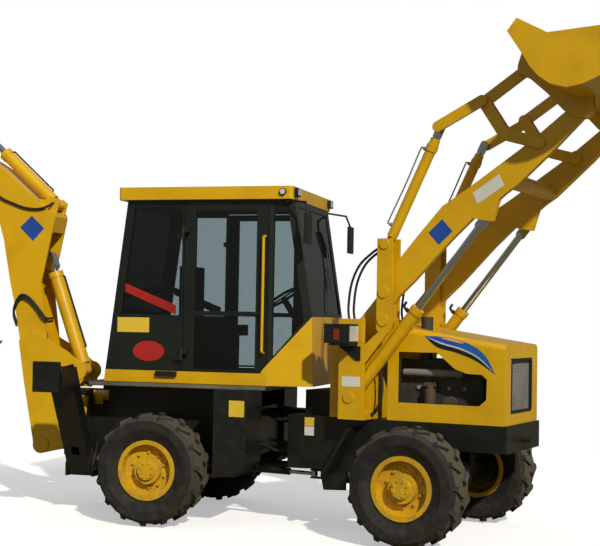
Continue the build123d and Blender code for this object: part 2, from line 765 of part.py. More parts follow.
# Skirt and bumper: the black apron under the hood, closed by a thick front plate
skirt = both_sides(block(skirt_rear_x + 95.0, bumper_front_x, half, skirt_half_width, skirt_bottom,
                         front_frame_top))
skirt += block(bumper_front_x - bumper_thickness, bumper_front_x, -half, half, skirt_bottom, front_frame_top)
skirt += block(bumper_front_x - bumper_thickness, bumper_front_x + tow_ear, -90.0, 90.0, tow_z, tow_z + 25.0)
skirt -= post(bumper_front_x + tow_ear / 2, 0, tow_bore_radius, tow_z - 5.0, tow_z + 30.0)
front_frame += skirt
for side in (-1, 1):
    hanger_y = side * steer_eye[1]
    hanger = block(steer_eye[0] + 85.0, steer_eye[0] + 110.0, hanger_y - 40.0, hanger_y + 40.0,
                   steer_z - 42.0, front_frame_bottom + 5.0)
    for ear_z in (steer_z - 42.0, steer_z + 30.0):
        hanger += block(steer_eye[0], steer_eye[0] + 100.0, hanger_y - 40.0, hanger_y + 40.0, ear_z,
                        ear_z + 12.0)
        hanger += post(steer_eye[0], hanger_y, 40.0, ear_z, ear_z + 12.0)
    front_frame += hanger
save("front_frame", turned(front_frame))

# Towers: a boxed column, an inner plate and an outer strip on each side with the arm root between
arm_inner_y = tower_inner_y + tower_plate + tower_gap
arm_outer_y = arm_inner_y + arm_thickness
strip_y = arm_outer_y + tower_gap
tower_side = [
    (column_rear_x, front_frame_top), (column_rear_x, column_top), (shelf_front_x, column_top),
    (strip_rear_x, 2259.0), (strip_rear_x, strip_top), (strip_front_x, strip_top), (strip_front_x, 1900.0),
    (1369.0, 1880.0), (column_front_x, 1560.0), (column_front_x, front_frame_top),
]
tower = slab(tower_side, tower_inner_y, tower_inner_y + tower_plate)
strip_middle = (strip_rear_x + strip_front_x) / 2
strip_half = (strip_front_x - strip_rear_x) / 2
strip_end = (strip_middle, strip_bottom + strip_half)
strip = block(strip_rear_x, strip_front_x, strip_y, strip_y + strip_plate, strip_end[1], strip_top)
strip += disc(strip_end, strip_half, strip_y, strip_y + strip_plate)
brace = [(column_front_x - 5.0, 1738.0), (1280.0, 1870.0), (1390.0, 1890.0), (column_front_x - 5.0, 1560.0)]
outer_side = slab(brace, strip_y, strip_y + strip_plate)
outer_side += block(column_rear_x, column_front_x, strip_y, strip_y + strip_plate, front_frame_top,
                    column_top)
tower += strip + outer_side
# The column is closed at its back, its foot and its shelf
tower_outer_y = strip_y + strip_plate
tower += block(column_rear_x, column_front_x, tower_inner_y, tower_outer_y, front_frame_top,
               front_frame_top + 60.0)
tower += block(column_rear_x, column_rear_x + 20.0, tower_inner_y, tower_outer_y, front_frame_top, column_top)
tower += block(column_rear_x, shelf_front_x, tower_inner_y, tower_outer_y, column_top - 20.0, column_top)
tower += block(column_rear_x, column_front_x, housing_half_width, tower_inner_y + 5.0, front_frame_top,
               1520.0)
# Pins through both plates hold the arm, the tilt cylinder and the lift cylinder
for pin_place, pin_size in ((arm_pivot, arm_pin_radius), (tilt_base_pin, link_pin_radius),
                            (lift_base_pin, arm_pin_radius)):
    tower += disc(pin_place, pin_size, tower_inner_y, tower_outer_y)
    tower += disc(pin_place, pin_size * 1.6, tower_outer_y - 5.0, tower_outer_y + 12.0)
tower += disc(upper_boss, arm_pin_radius * 1.6, tower_outer_y - 5.0, tower_outer_y + 12.0)
towers = both_sides(tower)
# The louvred tank housing joins both columns
housing = block(housing_rear_x, column_front_x, -housing_half_width, housing_half_width, front_frame_top,
                housing_top)
towers += housing
save("towers", turned(towers))

# Headlamps on the outside of the towers
lamp_outer = [
    (830.0, 1756.0), (1080.0, 1756.0), (1080.0, 1931.0), (830.0, 1931.0),
]
lamp_y = tower_outer_y + 20.0
headlamp = slab(lamp_outer, lamp_y, lamp_y + lamp_depth)
bracket = [(880.0, 1730.0), (1100.0, 1730.0), (1100.0, 1600.0), (1060.0, 1600.0)]
headlamp += slab(bracket, tower_outer_y, tower_outer_y + 12.0)
headlamp += block(880.0, 1070.0, tower_outer_y, lamp_y + lamp_depth - 10.0, 1736.0, 1756.0)
save("headlamps", turned(both_sides(headlamp)))

# Hood: a folded shell with side openings and a grille opening
hood_side = [
    (hood_rear_x, front_frame_top), (hood_front_x, front_frame_top), (hood_front_x, hood_front_top),
    (hood_break_x, hood_break_top), (hood_rear_x, hood_rear_top),
]
hood = slab(hood_side, -hood_half_width, hood_half_width)
top_edges = hood.edges().filter_by(lambda e: e.center().Z > hood_front_top - 60.0 and abs(e.center().Y) > 100.0)
hood = fillet(top_edges, hood_edge_radius)
inner_side = [
    (hood_rear_x - 10.0, front_frame_top - 10.0), (hood_front_x - hood_sheet, front_frame_top - 10.0),
    (hood_front_x - hood_sheet, hood_front_top - hood_sheet), (hood_break_x, hood_break_top - hood_sheet),
    (hood_rear_x - 10.0, hood_rear_top - hood_sheet),
]
inner_hood = slab(inner_side, -hood_half_width + hood_sheet, hood_half_width - hood_sheet)
inner_top = inner_hood.edges().filter_by(lambda e: e.center().Z > hood_front_top - 60.0 and abs(e.center().Y) > 100.0)
inner_hood = fillet(inner_top, hood_edge_radius - hood_sheet)
hood -= inner_hood
side_opening = [
    (1393.0, 1225.0), (2169.0, 1225.0), (2236.0, 1285.0), (2239.0, 1463.0), (2192.0, 1504.0), (2054.0,
                                                                                               1508.0),
    (1940.0, 1545.0), (1769.0, 1686.0), (1393.0, 1686.0),
]
hood -= slab(side_opening, -hood_half_width - 10.0, hood_half_width + 10.0)
grille_hole = block(hood_front_x - 60.0, hood_front_x + 60.0, -grille_half_width, grille_half_width,
                    grille_bottom, grille_top)
hood -= grille_hole
hood -= post(intake_x, intake_y, intake_radius + 6.0, hood_front_top, intake_top)
save("hood", turned(hood))
frame_strip = 26.0
grille = block(hood_front_x - grille_depth, hood_front_x + 4.0, -grille_half_width, grille_half_width,
               grille_bottom, grille_top)
grille = fillet(grille.edges().filter_by(Axis.X), grille_radius)
grille -= block(hood_front_x - grille_depth + 10.0, hood_front_x + 10.0, -grille_half_width + frame_strip,
                grille_half_width - frame_strip, grille_bottom + frame_strip, grille_top - frame_strip)
save("grille", turned(grille))
engine = block(engine_rear_x, engine_front_x, -engine_half_width, engine_half_width,
               front_frame_top, engine_top)
engine += block(engine_front_x - 5.0, radiator_rear_x + 5.0, -70.0, 70.0, 1200.0, 1340.0)
engine += block(radiator_rear_x, radiator_front_x, -radiator_half_width, radiator_half_width,
                front_frame_top, radiator_top)
engine += post(intake_x, intake_y, intake_radius, engine_top - 5.0, intake_top)
save("engine", turned(engine))

# Loader arms: a boxed arm each side and the cross tube
arm_upper = [
    (1240.0, 1990.0), (1245.0, 2245.0), (1262.0, 2285.0), (1420.0, 2500.0), (1605.0, 2719.0), (1850.0,
                                                                                               2995.0), (2106.0, 3158.0), (2559.0, 3468.0),
    (2737.0, 3600.0), (2975.0, 3788.0),
]
arm_lower = [
    (3135.0, 3726.0), (2895.0, 3487.0), (2545.0, 3165.0), (2435.0, 3091.0), (2340.0, 3010.0), (2138.0,
                                                                                               2879.0),
    (1944.0, 2697.0), (1596.0, 2333.0), (1433.0, 2179.0), (1395.0, 2110.0), (1394.0, 1950.0),
]
arm = slab(arm_upper + arm_lower, arm_inner_y, arm_outer_y)
arm += disc(arm_pivot, 80.0, arm_inner_y, arm_outer_y)
arm += disc(bucket_pin, 84.0, arm_inner_y, arm_outer_y)
arm += disc(rocker_arm_pin, 80.0, arm_inner_y, arm_outer_y)
arm -= disc(arm_pivot, arm_pin_radius + running_gap, arm_inner_y - 1.0, arm_outer_y + 1.0)
eye_plate = [(2138.0, 2885.0), (2202.0, 2866.0), (2320.0, 2850.0), (2380.0, 3050.0), (2250.0, 3050.0)]
lever_middle_y = (arm_inner_y + arm_outer_y) / 2
arm -= disc(lift_rod_pin, 64.0, lever_middle_y - eye_slot / 2, lever_middle_y + eye_slot / 2)
cheek = 14.0
for cheek_y in (arm_inner_y, arm_outer_y - cheek):
    arm += slab(eye_plate, cheek_y, cheek_y + cheek)
arm += disc(bucket_pin, link_pin_radius, arm_inner_y - lug_plate - 6.0, arm_outer_y + lug_plate + 6.0)
arm -= disc(rocker_arm_pin, link_pin_radius + running_gap, arm_inner_y - 1.0, arm_outer_y + 1.0)
arms = both_sides(arm)
arms += disc((2470.0, 3205.0), cross_tube_radius, -arm_inner_y - 5.0, arm_inner_y + 5.0)
save("loader_arms", turned(arms))
plate_gap = 6.0
inner_plate_y = arm_inner_y - plate_gap - rocker_plate
outer_plate_y = arm_outer_y + plate_gap

# Rockers: two bent plates each side over the arm and the lever
rocker_knee = (2420.0, 3610.0)
rocker = None
for plate_y in (inner_plate_y, outer_plate_y):
    plate = link(rocker_lever_pin, rocker_knee, rocker_depth, plate_y, plate_y + rocker_plate)
    plate += link(rocker_knee, rocker_arm_pin, rocker_depth, plate_y, plate_y + rocker_plate)
    plate -= disc(rocker_lever_pin, link_pin_radius + running_gap, plate_y - 1.0,
                  plate_y + rocker_plate + 1.0)
    rocker = plate if rocker is None else rocker + plate
rocker += disc(rocker_arm_pin, link_pin_radius, inner_plate_y, outer_plate_y + rocker_plate)
save("loader_rockers", turned(both_sides(rocker)))

# Levers: a bent bar each side from the tilt cylinder's rod over the rocker pin to the bucket
lever_y0 = lever_middle_y - lever_thickness / 2
lever_y1 = lever_middle_y + lever_thickness / 2
crank_y0 = lever_middle_y + tilt_barrel_radius + gland_extra + side_gap
crank_y1 = crank_y0 + crank_thickness
lever = link(lever_rod_pin, rocker_lever_pin, lever_depth, crank_y0, crank_y1)
lever += link(rocker_lever_pin, lever_bucket_pin, lever_depth, lever_y0, lever_y1)
lever += disc(rocker_lever_pin, link_pin_radius, inner_plate_y - side_gap, crank_y1)
save("loader_levers", turned(both_sides(lever)))

# Bucket: a rolled shell between side plates, with two pairs of lugs
bucket_heel = (3111.0, 3883.0)
bucket_side = [
    (2604.0, 4390.0), (2718.0, 4218.0), (2797.0, 4088.0), (2868.0, 4000.0), (2974.0, 3924.0), bucket_heel,
    (3247.0, 3904.0), (3385.0, 3961.0), (3463.0, 4011.0), (3918.0, 4392.0), (2948.0, 4349.0), (2686.0,
                                                                                               4494.0),
]
shell_inside = [
    (2622.0, 4400.0), (2731.0, 4225.0), (2809.0, 4097.0), (2878.0, 4011.0), (2979.0, 3938.0), (3111.0,
                                                                                               3898.0),
    (3243.0, 3918.0), (3378.0, 3974.0), (3454.0, 4023.0), (3935.0, 4425.0), (2948.0, 4600.0), (2690.0,
                                                                                               4520.0),
]
bucket_outside = slab(bucket_side, -bucket_half_width, bucket_half_width)
bucket = bucket_outside - slab(shell_inside, -bucket_half_width + bucket_side_sheet,
                               bucket_half_width - bucket_side_sheet)
bucket_lug = [
    (2573.0, 4301.0), (2540.0, 4200.0), (2540.0, 4130.0), (2640.0, 4085.0), (2808.0, 3935.0), (2950.0,
                                                                                               3780.0),
    (3060.0, 3715.0), (3150.0, 3710.0), (3205.0, 3780.0), (3190.0, 3897.0), (3111.0, 3886.0), (2974.0,
                                                                                               3927.0),
    (2868.0, 4003.0), (2797.0, 4091.0), (2718.0, 4221.0), (2660.0, 4310.0),
]
for plate_y in (inner_plate_y, outer_plate_y):
    lug = slab(bucket_lug, plate_y, plate_y + lug_plate)
    lug -= disc(bucket_pin, link_pin_radius + running_gap, plate_y - 1.0, plate_y + lug_plate + 1.0)
    bucket += both_sides(lug)
save("loader_bucket", turned(bucket))

# Lift and tilt cylinders
lift_length = span(lift_base_pin, lift_rod_pin)
cyl_y0 = lever_y0
cyl_y1 = lever_y1
lift_barrel = barrel(lift_base_pin, lift_rod_pin, lift_barrel_radius, lift_rod_radius, lift_barrel_length,
                     cyl_y0, cyl_y1)
lift_barrel -= disc(lift_base_pin, arm_pin_radius + running_gap, cyl_y0 - 1.0, cyl_y1 + 1.0)
save("lift_barrels", turned(both_sides(lift_barrel)))
lift_rod = rod(lift_base_pin, lift_rod_pin, lift_rod_radius, lift_rod_start, rod_eye, lever_middle_y)
save("lift_rods", turned(both_sides(lift_rod)))
tilt_barrel = barrel(tilt_base_pin, lever_rod_pin, tilt_barrel_radius, tilt_rod_radius, tilt_barrel_length,
                     cyl_y0, cyl_y1)
tilt_barrel -= disc(tilt_base_pin, link_pin_radius + running_gap, cyl_y0 - 1.0, cyl_y1 + 1.0)
save("tilt_barrels", turned(both_sides(tilt_barrel)))
tilt_rod = rod(tilt_base_pin, lever_rod_pin, tilt_rod_radius, eye_length + 60.0, rod_eye, lever_middle_y)
tilt_rod += disc(lever_rod_pin, tilt_rod_radius * 1.2, lever_middle_y, crank_y0 - side_gap)
save("tilt_rods", turned(both_sides(tilt_rod)))


# Steering cylinders
def plan_link(start, end, depth, z0, z1):
    run = Vector(end[0] - start[0], end[1] - start[1], 0)
    middle = ((start[0] + end[0]) / 2, (start[1] + end[1]) / 2)
    angle = degrees(atan2(run.Y, run.X))
    body = Pos(middle[0], middle[1], (z0 + z1) / 2) * Rot(0, 0, angle) * Box(run.length, depth, z1 - z0)
    return body + post(start[0], start[1], depth / 2, z0, z1) + post(end[0], end[1], depth / 2, z0, z1)


for side_name, side in (("right", -1), ("left", 1)):
    base = Vector(steer_base[0], side * steer_base[1], steer_z)
    angle = radians(steer_angle)
    eye = Vector(steer_eye[0] * cos(angle) - side * steer_eye[1] * sin(angle),
                 steer_eye[0] * sin(angle) + side * steer_eye[1] * cos(angle), steer_z)
    run = (eye - base).normalized()
    start = base + run * 45.0
    end = base + run * steer_barrel_length
    bore_start = start + run * 12.0
    tube = bar(tuple(start), tuple(end), steer_radius)
    tube += plan_link((base.X, base.Y), (start.X, start.Y), 60.0, steer_z - 24.0, steer_z + 24.0)
    tube -= bar(tuple(bore_start), tuple(end), steer_rod_radius + running_gap)
    tube -= post(base.X, base.Y, steer_pin_radius + running_gap, steer_z - 30.0, steer_z + 30.0)
    rod_start = eye - run * steer_rod_length
    shaft = bar(tuple(rod_start), tuple(eye), steer_rod_radius)
    shaft += post(eye.X, eye.Y, 32.0, steer_z - 22.0, steer_z + 22.0)
    save("steer_barrel_" + side_name, tube)
    save("steer_rod_" + side_name, shaft)


# Stabilisers: a boxed leg each side that swings out sideways, its foot and its cylinder
def front_disc(place, radius, x0, x1):
    return Pos((x0 + x1) / 2, place[0], place[1]) * Rot(0, 90, 0) * Cylinder(radius, x1 - x0)


leg_heading = 90.0 - leg_lean
leg_pivot = (leg_pivot_y, leg_pivot_z)
leg_top = polar(leg_pivot, leg_length, leg_heading)
leg_eye = polar(leg_pivot, leg_eye_reach, leg_heading)
leg_front_x = leg_x + leg_half_x
leg_rear_x = leg_x - leg_half_x
leg_outline = [
    polar(leg_pivot, leg_root_depth / 2, leg_heading + 90), polar(leg_pivot, leg_root_depth / 2,
                                                                  leg_heading - 90),
    polar(leg_top, leg_depth / 2, leg_heading - 90), polar(leg_top, leg_depth / 2, leg_heading + 90),
]
leg = front_slab(leg_outline, leg_rear_x, leg_front_x) + front_disc(leg_pivot, leg_root_depth / 2,
                                                                    leg_rear_x, leg_front_x)
hollow = [
    polar(polar(leg_pivot, -200.0, leg_heading), 200.0, leg_heading + 90),
    polar(polar(leg_pivot, -200.0, leg_heading), leg_root_depth / 2 - leg_wall, leg_heading - 90),
    polar(polar(leg_top, -150.0, leg_heading), leg_depth / 2 - leg_wall - 2.0, leg_heading - 90),
    polar(polar(leg_top, -150.0, leg_heading), 200.0, leg_heading + 90),
]
leg -= front_slab(hollow, leg_rear_x + leg_wall, leg_front_x - leg_wall)
leg -= block(leg_x - 42.0, leg_x + 42.0, 596.0, 665.0, 585.0, 670.0)
leg += front_disc(leg_pivot, leg_root_depth / 2, leg_rear_x, leg_front_x)
leg -= front_disc(leg_pivot, leg_pin_radius + running_gap, leg_rear_x - 1.0, leg_front_x + 1.0)
foot_z = leg_top[1] - 60.0
leg += block(foot_centre_x - foot_half_x, foot_centre_x + foot_half_x, foot_y - foot_thickness, foot_y,
             foot_z - foot_height / 2, foot_z + foot_height / 2)
web = [
    (leg_top[0] - 40.0, leg_top[1] - 40.0), (leg_top[0], leg_top[1] + 60.0),
    (foot_y - foot_thickness + 1.0, foot_z + 100.0), (foot_y - foot_thickness + 1.0, foot_z - 90.0),
    (leg_top[0] - 90.0, leg_top[1] - 220.0),
]
for web_x in (leg_rear_x, leg_front_x - leg_wall):
    leg += front_slab(web, web_x, web_x + leg_wall)
cylinder_base = (leg_cylinder_y, leg_cylinder_z)
leg_run = span(cylinder_base, leg_eye)
rod_heading = heading(cylinder_base, leg_eye)


def leg_point(reach):
    y, z = polar(cylinder_base, reach, rod_heading)
    return (leg_x, y, z)


leg_barrel_end = leg_run - 50.0
leg_barrel = bar(leg_point(0.0), leg_point(leg_barrel_end), leg_barrel_radius)
leg_barrel -= bar(leg_point(40.0), leg_point(leg_barrel_end), leg_rod_radius + running_gap)
leg_rod = bar(leg_point(45.0), leg_point(leg_run), leg_rod_radius)
leg_rod += front_disc(leg_eye, 34.0, leg_x - 30.0, leg_x + 30.0)
for side_name, side in (("right", -1), ("left", 1)):
    save("stabiliser_" + side_name, leg if side > 0 else mirror(leg, about=Plane.XZ))
    save("stabiliser_rod_" + side_name, leg_rod if side > 0 else mirror(leg_rod, about=Plane.XZ))

# Rear frame's stabiliser pins, cylinder caps and steering brackets, cut to take the barrels
leg_pins = front_disc(leg_pivot, leg_pin_radius, leg_rear_x - side_gap - frame_plate - 10.0,
                      leg_front_x + side_gap + frame_plate + 10.0)
cap = block(leg_x - 60.0, leg_x + 60.0, frame_half_width - 5.0, leg_cylinder_y + 55.0, leg_cylinder_z - 15.0,
            leg_cylinder_z + 43.0)
cap += block(leg_x - 60.0, leg_x + 60.0, frame_half_width - frame_plate, frame_half_width,
             frame_step_z - 10.0,
             leg_cylinder_z + 43.0)
cap -= bar(leg_point(0.0), leg_point(leg_barrel_end), leg_barrel_radius)
rear_frame += both_sides(leg_pins + cap)
for side in (-1, 1):
    hanger_y = side * steer_base[1]
    hanger = block(steer_base[0] - 70.0, steer_base[0] - 50.0, hanger_y - 40.0, hanger_y + 40.0,
                   steer_z - 42.0, rear_frame_bottom + 5.0)
    for ear_z in (steer_z - 42.0, steer_z + 30.0):
        hanger += block(steer_base[0] - 60.0, steer_base[0], hanger_y - 40.0, hanger_y + 40.0, ear_z,
                        ear_z + 12.0)
        hanger += post(steer_base[0], hanger_y, 40.0, ear_z, ear_z + 12.0)
    hanger += post(steer_base[0], hanger_y, steer_pin_radius, steer_z - 42.0, steer_z + 42.0)
    rear_frame += hanger
rear_frame += block(steer_base[0] - 90.0, rear_frame_front_x, -frame_half_width, frame_half_width,
                    rear_frame_bottom, rear_frame_bottom + 20.0)
save("rear_frame", rear_frame)

# Cylinders fixed at the back: the stabilisers' barrels and the two swing cylinders over the frame
swing_barrel = bar((swing_cylinder_front_x, swing_cylinder_y, swing_cylinder_z),
                   (swing_cylinder_front_x - 230.0, swing_cylinder_y,
                    swing_cylinder_z), swing_cylinder_radius)
swing_barrel += bar((swing_cylinder_front_x - 230.0, swing_cylinder_y, swing_cylinder_z),
                    (swing_cylinder_rear_x, swing_cylinder_y, swing_cylinder_z), 27.0)
swing_barrel += post(swing_cylinder_rear_x, swing_cylinder_y, 38.0, swing_cylinder_z - 30.0,
                     swing_cylinder_z + 30.0)
swing_barrel += block(swing_cylinder_front_x - 150.0, swing_cylinder_front_x - 70.0, swing_cylinder_y - 60.0,
                      swing_cylinder_y + 60.0, frame_step_z, swing_cylinder_z)
save("rear_cylinders", both_sides(leg_barrel) + both_sides(swing_barrel))

# Backhoe: swing post
post_y0 = boom_half_width + side_gap
post_y1 = post_y0 + post_plate
post_side = [
    (-2690.0, 640.0), (-2640.0, 545.0), (-2540.0, 545.0), (swing_x + 40.0, 620.0), (swing_x + 40.0, 1105.0),
    (boom_cylinder_base[0] + 60.0, 1300.0), (boom_cylinder_base[0] + 70.0, 1440.0), (-2330.0, 1590.0),
    (-2740.0, 1810.0), (-2885.0, 1690.0), (-2815.0, 1270.0),
]
cheek = slab(post_side, post_y0, post_y1)
cheek += disc(boom_foot, 88.0, post_y0, post_y1 + 12.0)
cheek += disc(boom_cylinder_base, 95.0, post_y0, post_y1 + 12.0)
cheek -= block(swing_x - swing_lug_radius - 12.0, swing_x + 300.0, post_y0 - 1.0, post_y1 + 13.0,
               swing_high_z - side_gap, swing_high_z + swing_lug_height + side_gap)
swing_post = both_sides(cheek)
hub_low = swing_low_z + swing_lug_height + side_gap
hub_high = swing_high_z - side_gap
swing_post += block(swing_x - 70.0, swing_x + 60.0, -post_y0 - 5.0, post_y0 + 5.0, hub_low, hub_high)
swing_post += post(swing_x, 0, swing_pin_radius, swing_low_z - 10.0, swing_high_z + swing_lug_height + 10.0)
swing_post += disc(boom_foot, boom_pin_radius, -post_y1, post_y1)
swing_post += disc(boom_cylinder_base, boom_pin_radius, -post_y1, post_y1)
save("swing_post", swing_post)

# Boom: a goose-necked box with an open front for its cylinder
boom_side = [
    (-2515.0, 640.0), (-2560.0, 700.0), (-2560.0, 1500.0), (-2590.0, 1800.0), (-2662.0, 2302.0), (-2571.0,
                                                                                                  2741.0),
    (-2520.0, 2990.0), (-2535.0, 3035.0), (-2640.0, 3075.0), (-3170.0, 3520.0), (-3640.0, 3800.0),
    (-3700.0, 3650.0), (-3156.0, 2910.0), (-3104.0, 2741.0), (-3022.0, 2320.0), (-2955.0, 2047.0),
    (-2887.0, 1697.0), (-2817.0, 1276.0), (-2690.0, 640.0),
]
boom = slab(boom_side, -boom_half_width, boom_half_width)
boom += disc(boom_foot, 88.0, -boom_half_width, boom_half_width)
boom += disc(boom_tip, 85.0, -boom_half_width, boom_half_width)
core_y = boom_half_width - boom_plate
core = [
    (-2440.0, 800.0), (-2620.0, 830.0), (-2720.0, 1276.0), (-2800.0, 1697.0), (-2860.0, 2047.0), (-2930.0,
                                                                                                  2320.0),
    (-2990.0, 2650.0), (-2990.0, 2800.0), (-2760.0, 2830.0), (-2400.0, 2830.0), (-2300.0, 2300.0),
]
boom -= slab(core, -core_y, core_y)
for pin_place in (boom_foot, boom_tip):
    boom -= disc(pin_place, boom_pin_radius + running_gap, -boom_half_width - 1.0, boom_half_width + 1.0)
ear_y = crowd_eye_width / 2 + side_gap
crowd_ear = [
    (-2640.0, 3020.0), (-2530.0, 3020.0), (crowd_base[0] + 60.0, crowd_base[1] + 30.0),
    (crowd_base[0] + 10.0, crowd_base[1] + 70.0), (crowd_base[0] - 90.0, crowd_base[1] + 60.0), (-2740.0,
                                                                                                 3180.0),
]
boom += both_sides(slab(crowd_ear, ear_y, ear_y + 22.0))
boom += disc(crowd_base, crowd_pin_radius, -ear_y - 22.0, ear_y + 22.0)
save("boom", boom)
boom_barrel = barrel(boom_cylinder_base, boom_cylinder_eye, boom_barrel_radius, boom_rod_radius,
                     boom_barrel_length, -boom_eye_width / 2, boom_eye_width / 2)
boom_barrel -= disc(boom_cylinder_base, boom_pin_radius + running_gap, -boom_eye_width, boom_eye_width)
save("boom_barrel", boom_barrel)
save("boom_rod", rod(boom_cylinder_base, boom_cylinder_eye, boom_rod_radius, eye_length + 60.0,
                     boom_eye_width, 0.0))

# Dipper: a box with a forked head over the boom's end, drawn up from its lower pin
down = -90.0 - dipper_lean
nose_pin = polar(boom_tip, -dipper_nose, down)
dipper_pin = polar(boom_tip, dipper_length, down)


def on_dipper(up, out):
    return polar(polar(dipper_pin, up, down + 180.0), out, down - 90.0)


fork_y = boom_half_width + side_gap
fork_y1 = fork_y + dipper_plate
head_side = [
    on_dipper(dipper_length + dipper_nose + 60.0, -55.0), on_dipper(dipper_length + dipper_nose + 60.0, 55.0),
    on_dipper(dipper_length + 80.0, 165.0), on_dipper(hoe_base_reach + 80.0, hoe_base_offset + 50.0),
    on_dipper(hoe_base_reach - 60.0, hoe_base_offset + 45.0), on_dipper(hoe_base_reach - 200.0, 150.0),
    on_dipper(hoe_base_reach - 200.0, -90.0), on_dipper(dipper_length, -105.0),
]
dipper = both_sides(slab(head_side, fork_y, fork_y1))
dipper += disc(boom_tip, boom_pin_radius, -fork_y1 - 10.0, fork_y1 + 10.0)
body_side = [
    on_dipper(-10.0, -75.0), on_dipper(-10.0, 60.0), on_dipper(330.0, 60.0), on_dipper(520.0,
                                                                                       dipper_depth / 2),
    on_dipper(hoe_base_reach - 180.0, dipper_depth / 2 + 15.0), on_dipper(hoe_base_reach - 60.0, 60.0),
    on_dipper(hoe_base_reach - 60.0, -60.0), on_dipper(hoe_base_reach - 200.0, -90.0), on_dipper(300.0,
                                                                                                 -85.0),
]
dipper += slab(body_side, -dipper_half_width, dipper_half_width)
dipper += both_sides(slab([on_dipper(hoe_base_reach - 200.0, -80.0), on_dipper(hoe_base_reach - 200.0, 110.0),
                           on_dipper(hoe_base_reach - 60.0, 60.0), on_dipper(hoe_base_reach - 60.0, -60.0)],
                          dipper_half_width - 5.0, fork_y1))
dipper += disc(dipper_pin, 75.0, -dipper_half_width, dipper_half_width)
tipper_pin = on_dipper(tipper_reach, 0.0)
for pin_place in (dipper_pin, tipper_pin):
    dipper += disc(pin_place, hoe_pin_radius, -hoe_outer_y - 10.0, hoe_outer_y + 10.0)
hoe_base = on_dipper(hoe_base_reach, hoe_base_offset)
dipper += both_sides(slab([on_dipper(hoe_base_reach + 60.0, 100.0),
                           on_dipper(hoe_base_reach + 50.0, hoe_base_offset + 20.0),
                           on_dipper(hoe_base_reach - 40.0, hoe_base_offset + 30.0),
                           on_dipper(hoe_base_reach - 190.0, 100.0)], 50.0, 72.0))
save("dipper", dipper)
crowd_barrel = barrel(crowd_base, nose_pin, crowd_barrel_radius, crowd_rod_radius, crowd_barrel_length,
                      -crowd_eye_width / 2, crowd_eye_width / 2)
crowd_barrel -= disc(crowd_base, crowd_pin_radius + running_gap, -crowd_eye_width, crowd_eye_width)
save("crowd_barrel", crowd_barrel)
save("crowd_rod", rod(crowd_base, nose_pin, crowd_rod_radius, crowd_rod_start, crowd_rod_eye, 0.0))

# Backhoe bucket's cylinder, its pair of tippers and the link down to the bucket
tipper_end = on_dipper(tipper_reach + tipper_length * cos(radians(tipper_angle)),
                       tipper_length * sin(radians(tipper_angle)))
link_end = on_dipper(ear_reach * cos(radians(ear_angle)), ear_reach * sin(radians(ear_angle)))
hoe_barrel = barrel(hoe_base, tipper_end, hoe_barrel_radius, hoe_rod_radius, hoe_barrel_length,
                    -hoe_eye_width / 2, hoe_eye_width / 2)
save("hoe_barrel", hoe_barrel)
save("hoe_rod", rod(hoe_base, tipper_end, hoe_rod_radius, hoe_rod_start, 60.0, 0.0))
inner_y = hoe_outer_y - hoe_plate
tipper = link(tipper_pin, tipper_end, 90.0, inner_y, hoe_outer_y)
tipper -= disc(tipper_pin, hoe_pin_radius + running_gap, inner_y - 1.0, hoe_outer_y + 1.0)
tipper += disc(tipper_end, hoe_pin_radius, 50.0, hoe_outer_y + 8.0)
save("hoe_tippers", both_sides(tipper))
link_y0 = 62.0
link_y1 = 98.0
hoe_link = link(tipper_end, link_end, 80.0, link_y0, link_y1)
hoe_link -= disc(tipper_end, hoe_pin_radius + running_gap, link_y0 - 1.0, link_y1 + 1.0)
hoe_link = both_sides(hoe_link) + disc(link_end, 30.0, -link_y1, link_y1)
save("hoe_link", hoe_link)

# Backhoe bucket: a rolled back between side plates, ears over the dipper's end, and teeth
hoe_profile = [
    # up the dipper, out from it
    (-95.0, -95.0), (-120.0, 30.0), (-240.0, 70.0), (-400.0, 130.0), (-560.0, 60.0), (-655.0, -90.0),
    (-680.0, -270.0), (-640.0, -440.0), (-535.0, -620.0),
]
hoe_inner = [
    (-107.0, -100.0), (-130.0, 21.0), (-244.0, 58.0), (-397.0, 116.0), (-551.0, 48.0), (-643.0, -94.0),
    (-667.0, -270.0), (-628.0, -436.0), (-524.0, -613.0), (-300.0, -900.0), (0.0, -300.0),
]
hoe_bucket = slab([on_dipper(u, v) for u, v in hoe_profile], -hoe_bucket_half_width, hoe_bucket_half_width)
hoe_bucket -= slab([on_dipper(u, v) for u, v in hoe_inner], -hoe_bucket_half_width + hoe_bucket_side,
                   hoe_bucket_half_width - hoe_bucket_side)
bucket_ear = [
    on_dipper(-230.0, 150.0), on_dipper(-190.0, 165.0), on_dipper(-130.0, 165.0), on_dipper(40.0, 60.0),
    on_dipper(65.0, 0.0), on_dipper(40.0, -60.0), on_dipper(-97.0, -90.0), on_dipper(-123.0, 28.0),
    on_dipper(-243.0, 68.0), on_dipper(-260.0, 100.0),
]
ear_plate = slab(bucket_ear, inner_y, hoe_outer_y)
ear_plate -= disc(dipper_pin, hoe_pin_radius + running_gap, inner_y - 1.0, hoe_outer_y + 1.0)
hoe_bucket += both_sides(ear_plate)
tooth = [(-545.0, -590.0), (-520.0, -600.0), (-458.0, -680.0), (-468.0, -687.0), (-560.0, -625.0)]
tooth_side = [on_dipper(u, v) for u, v in tooth]
for tooth_number in range(tooth_count):
    tooth_y = -hoe_bucket_half_width + tooth_width / 2 + tooth_number * (
        (2 * hoe_bucket_half_width - tooth_width) / (tooth_count - 1))
    hoe_bucket += slab(tooth_side, tooth_y - tooth_width / 2, tooth_y + tooth_width / 2)
save("hoe_bucket", hoe_bucket)
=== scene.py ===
import math

import bpy
import numpy as np
from mathutils import Matrix, Vector


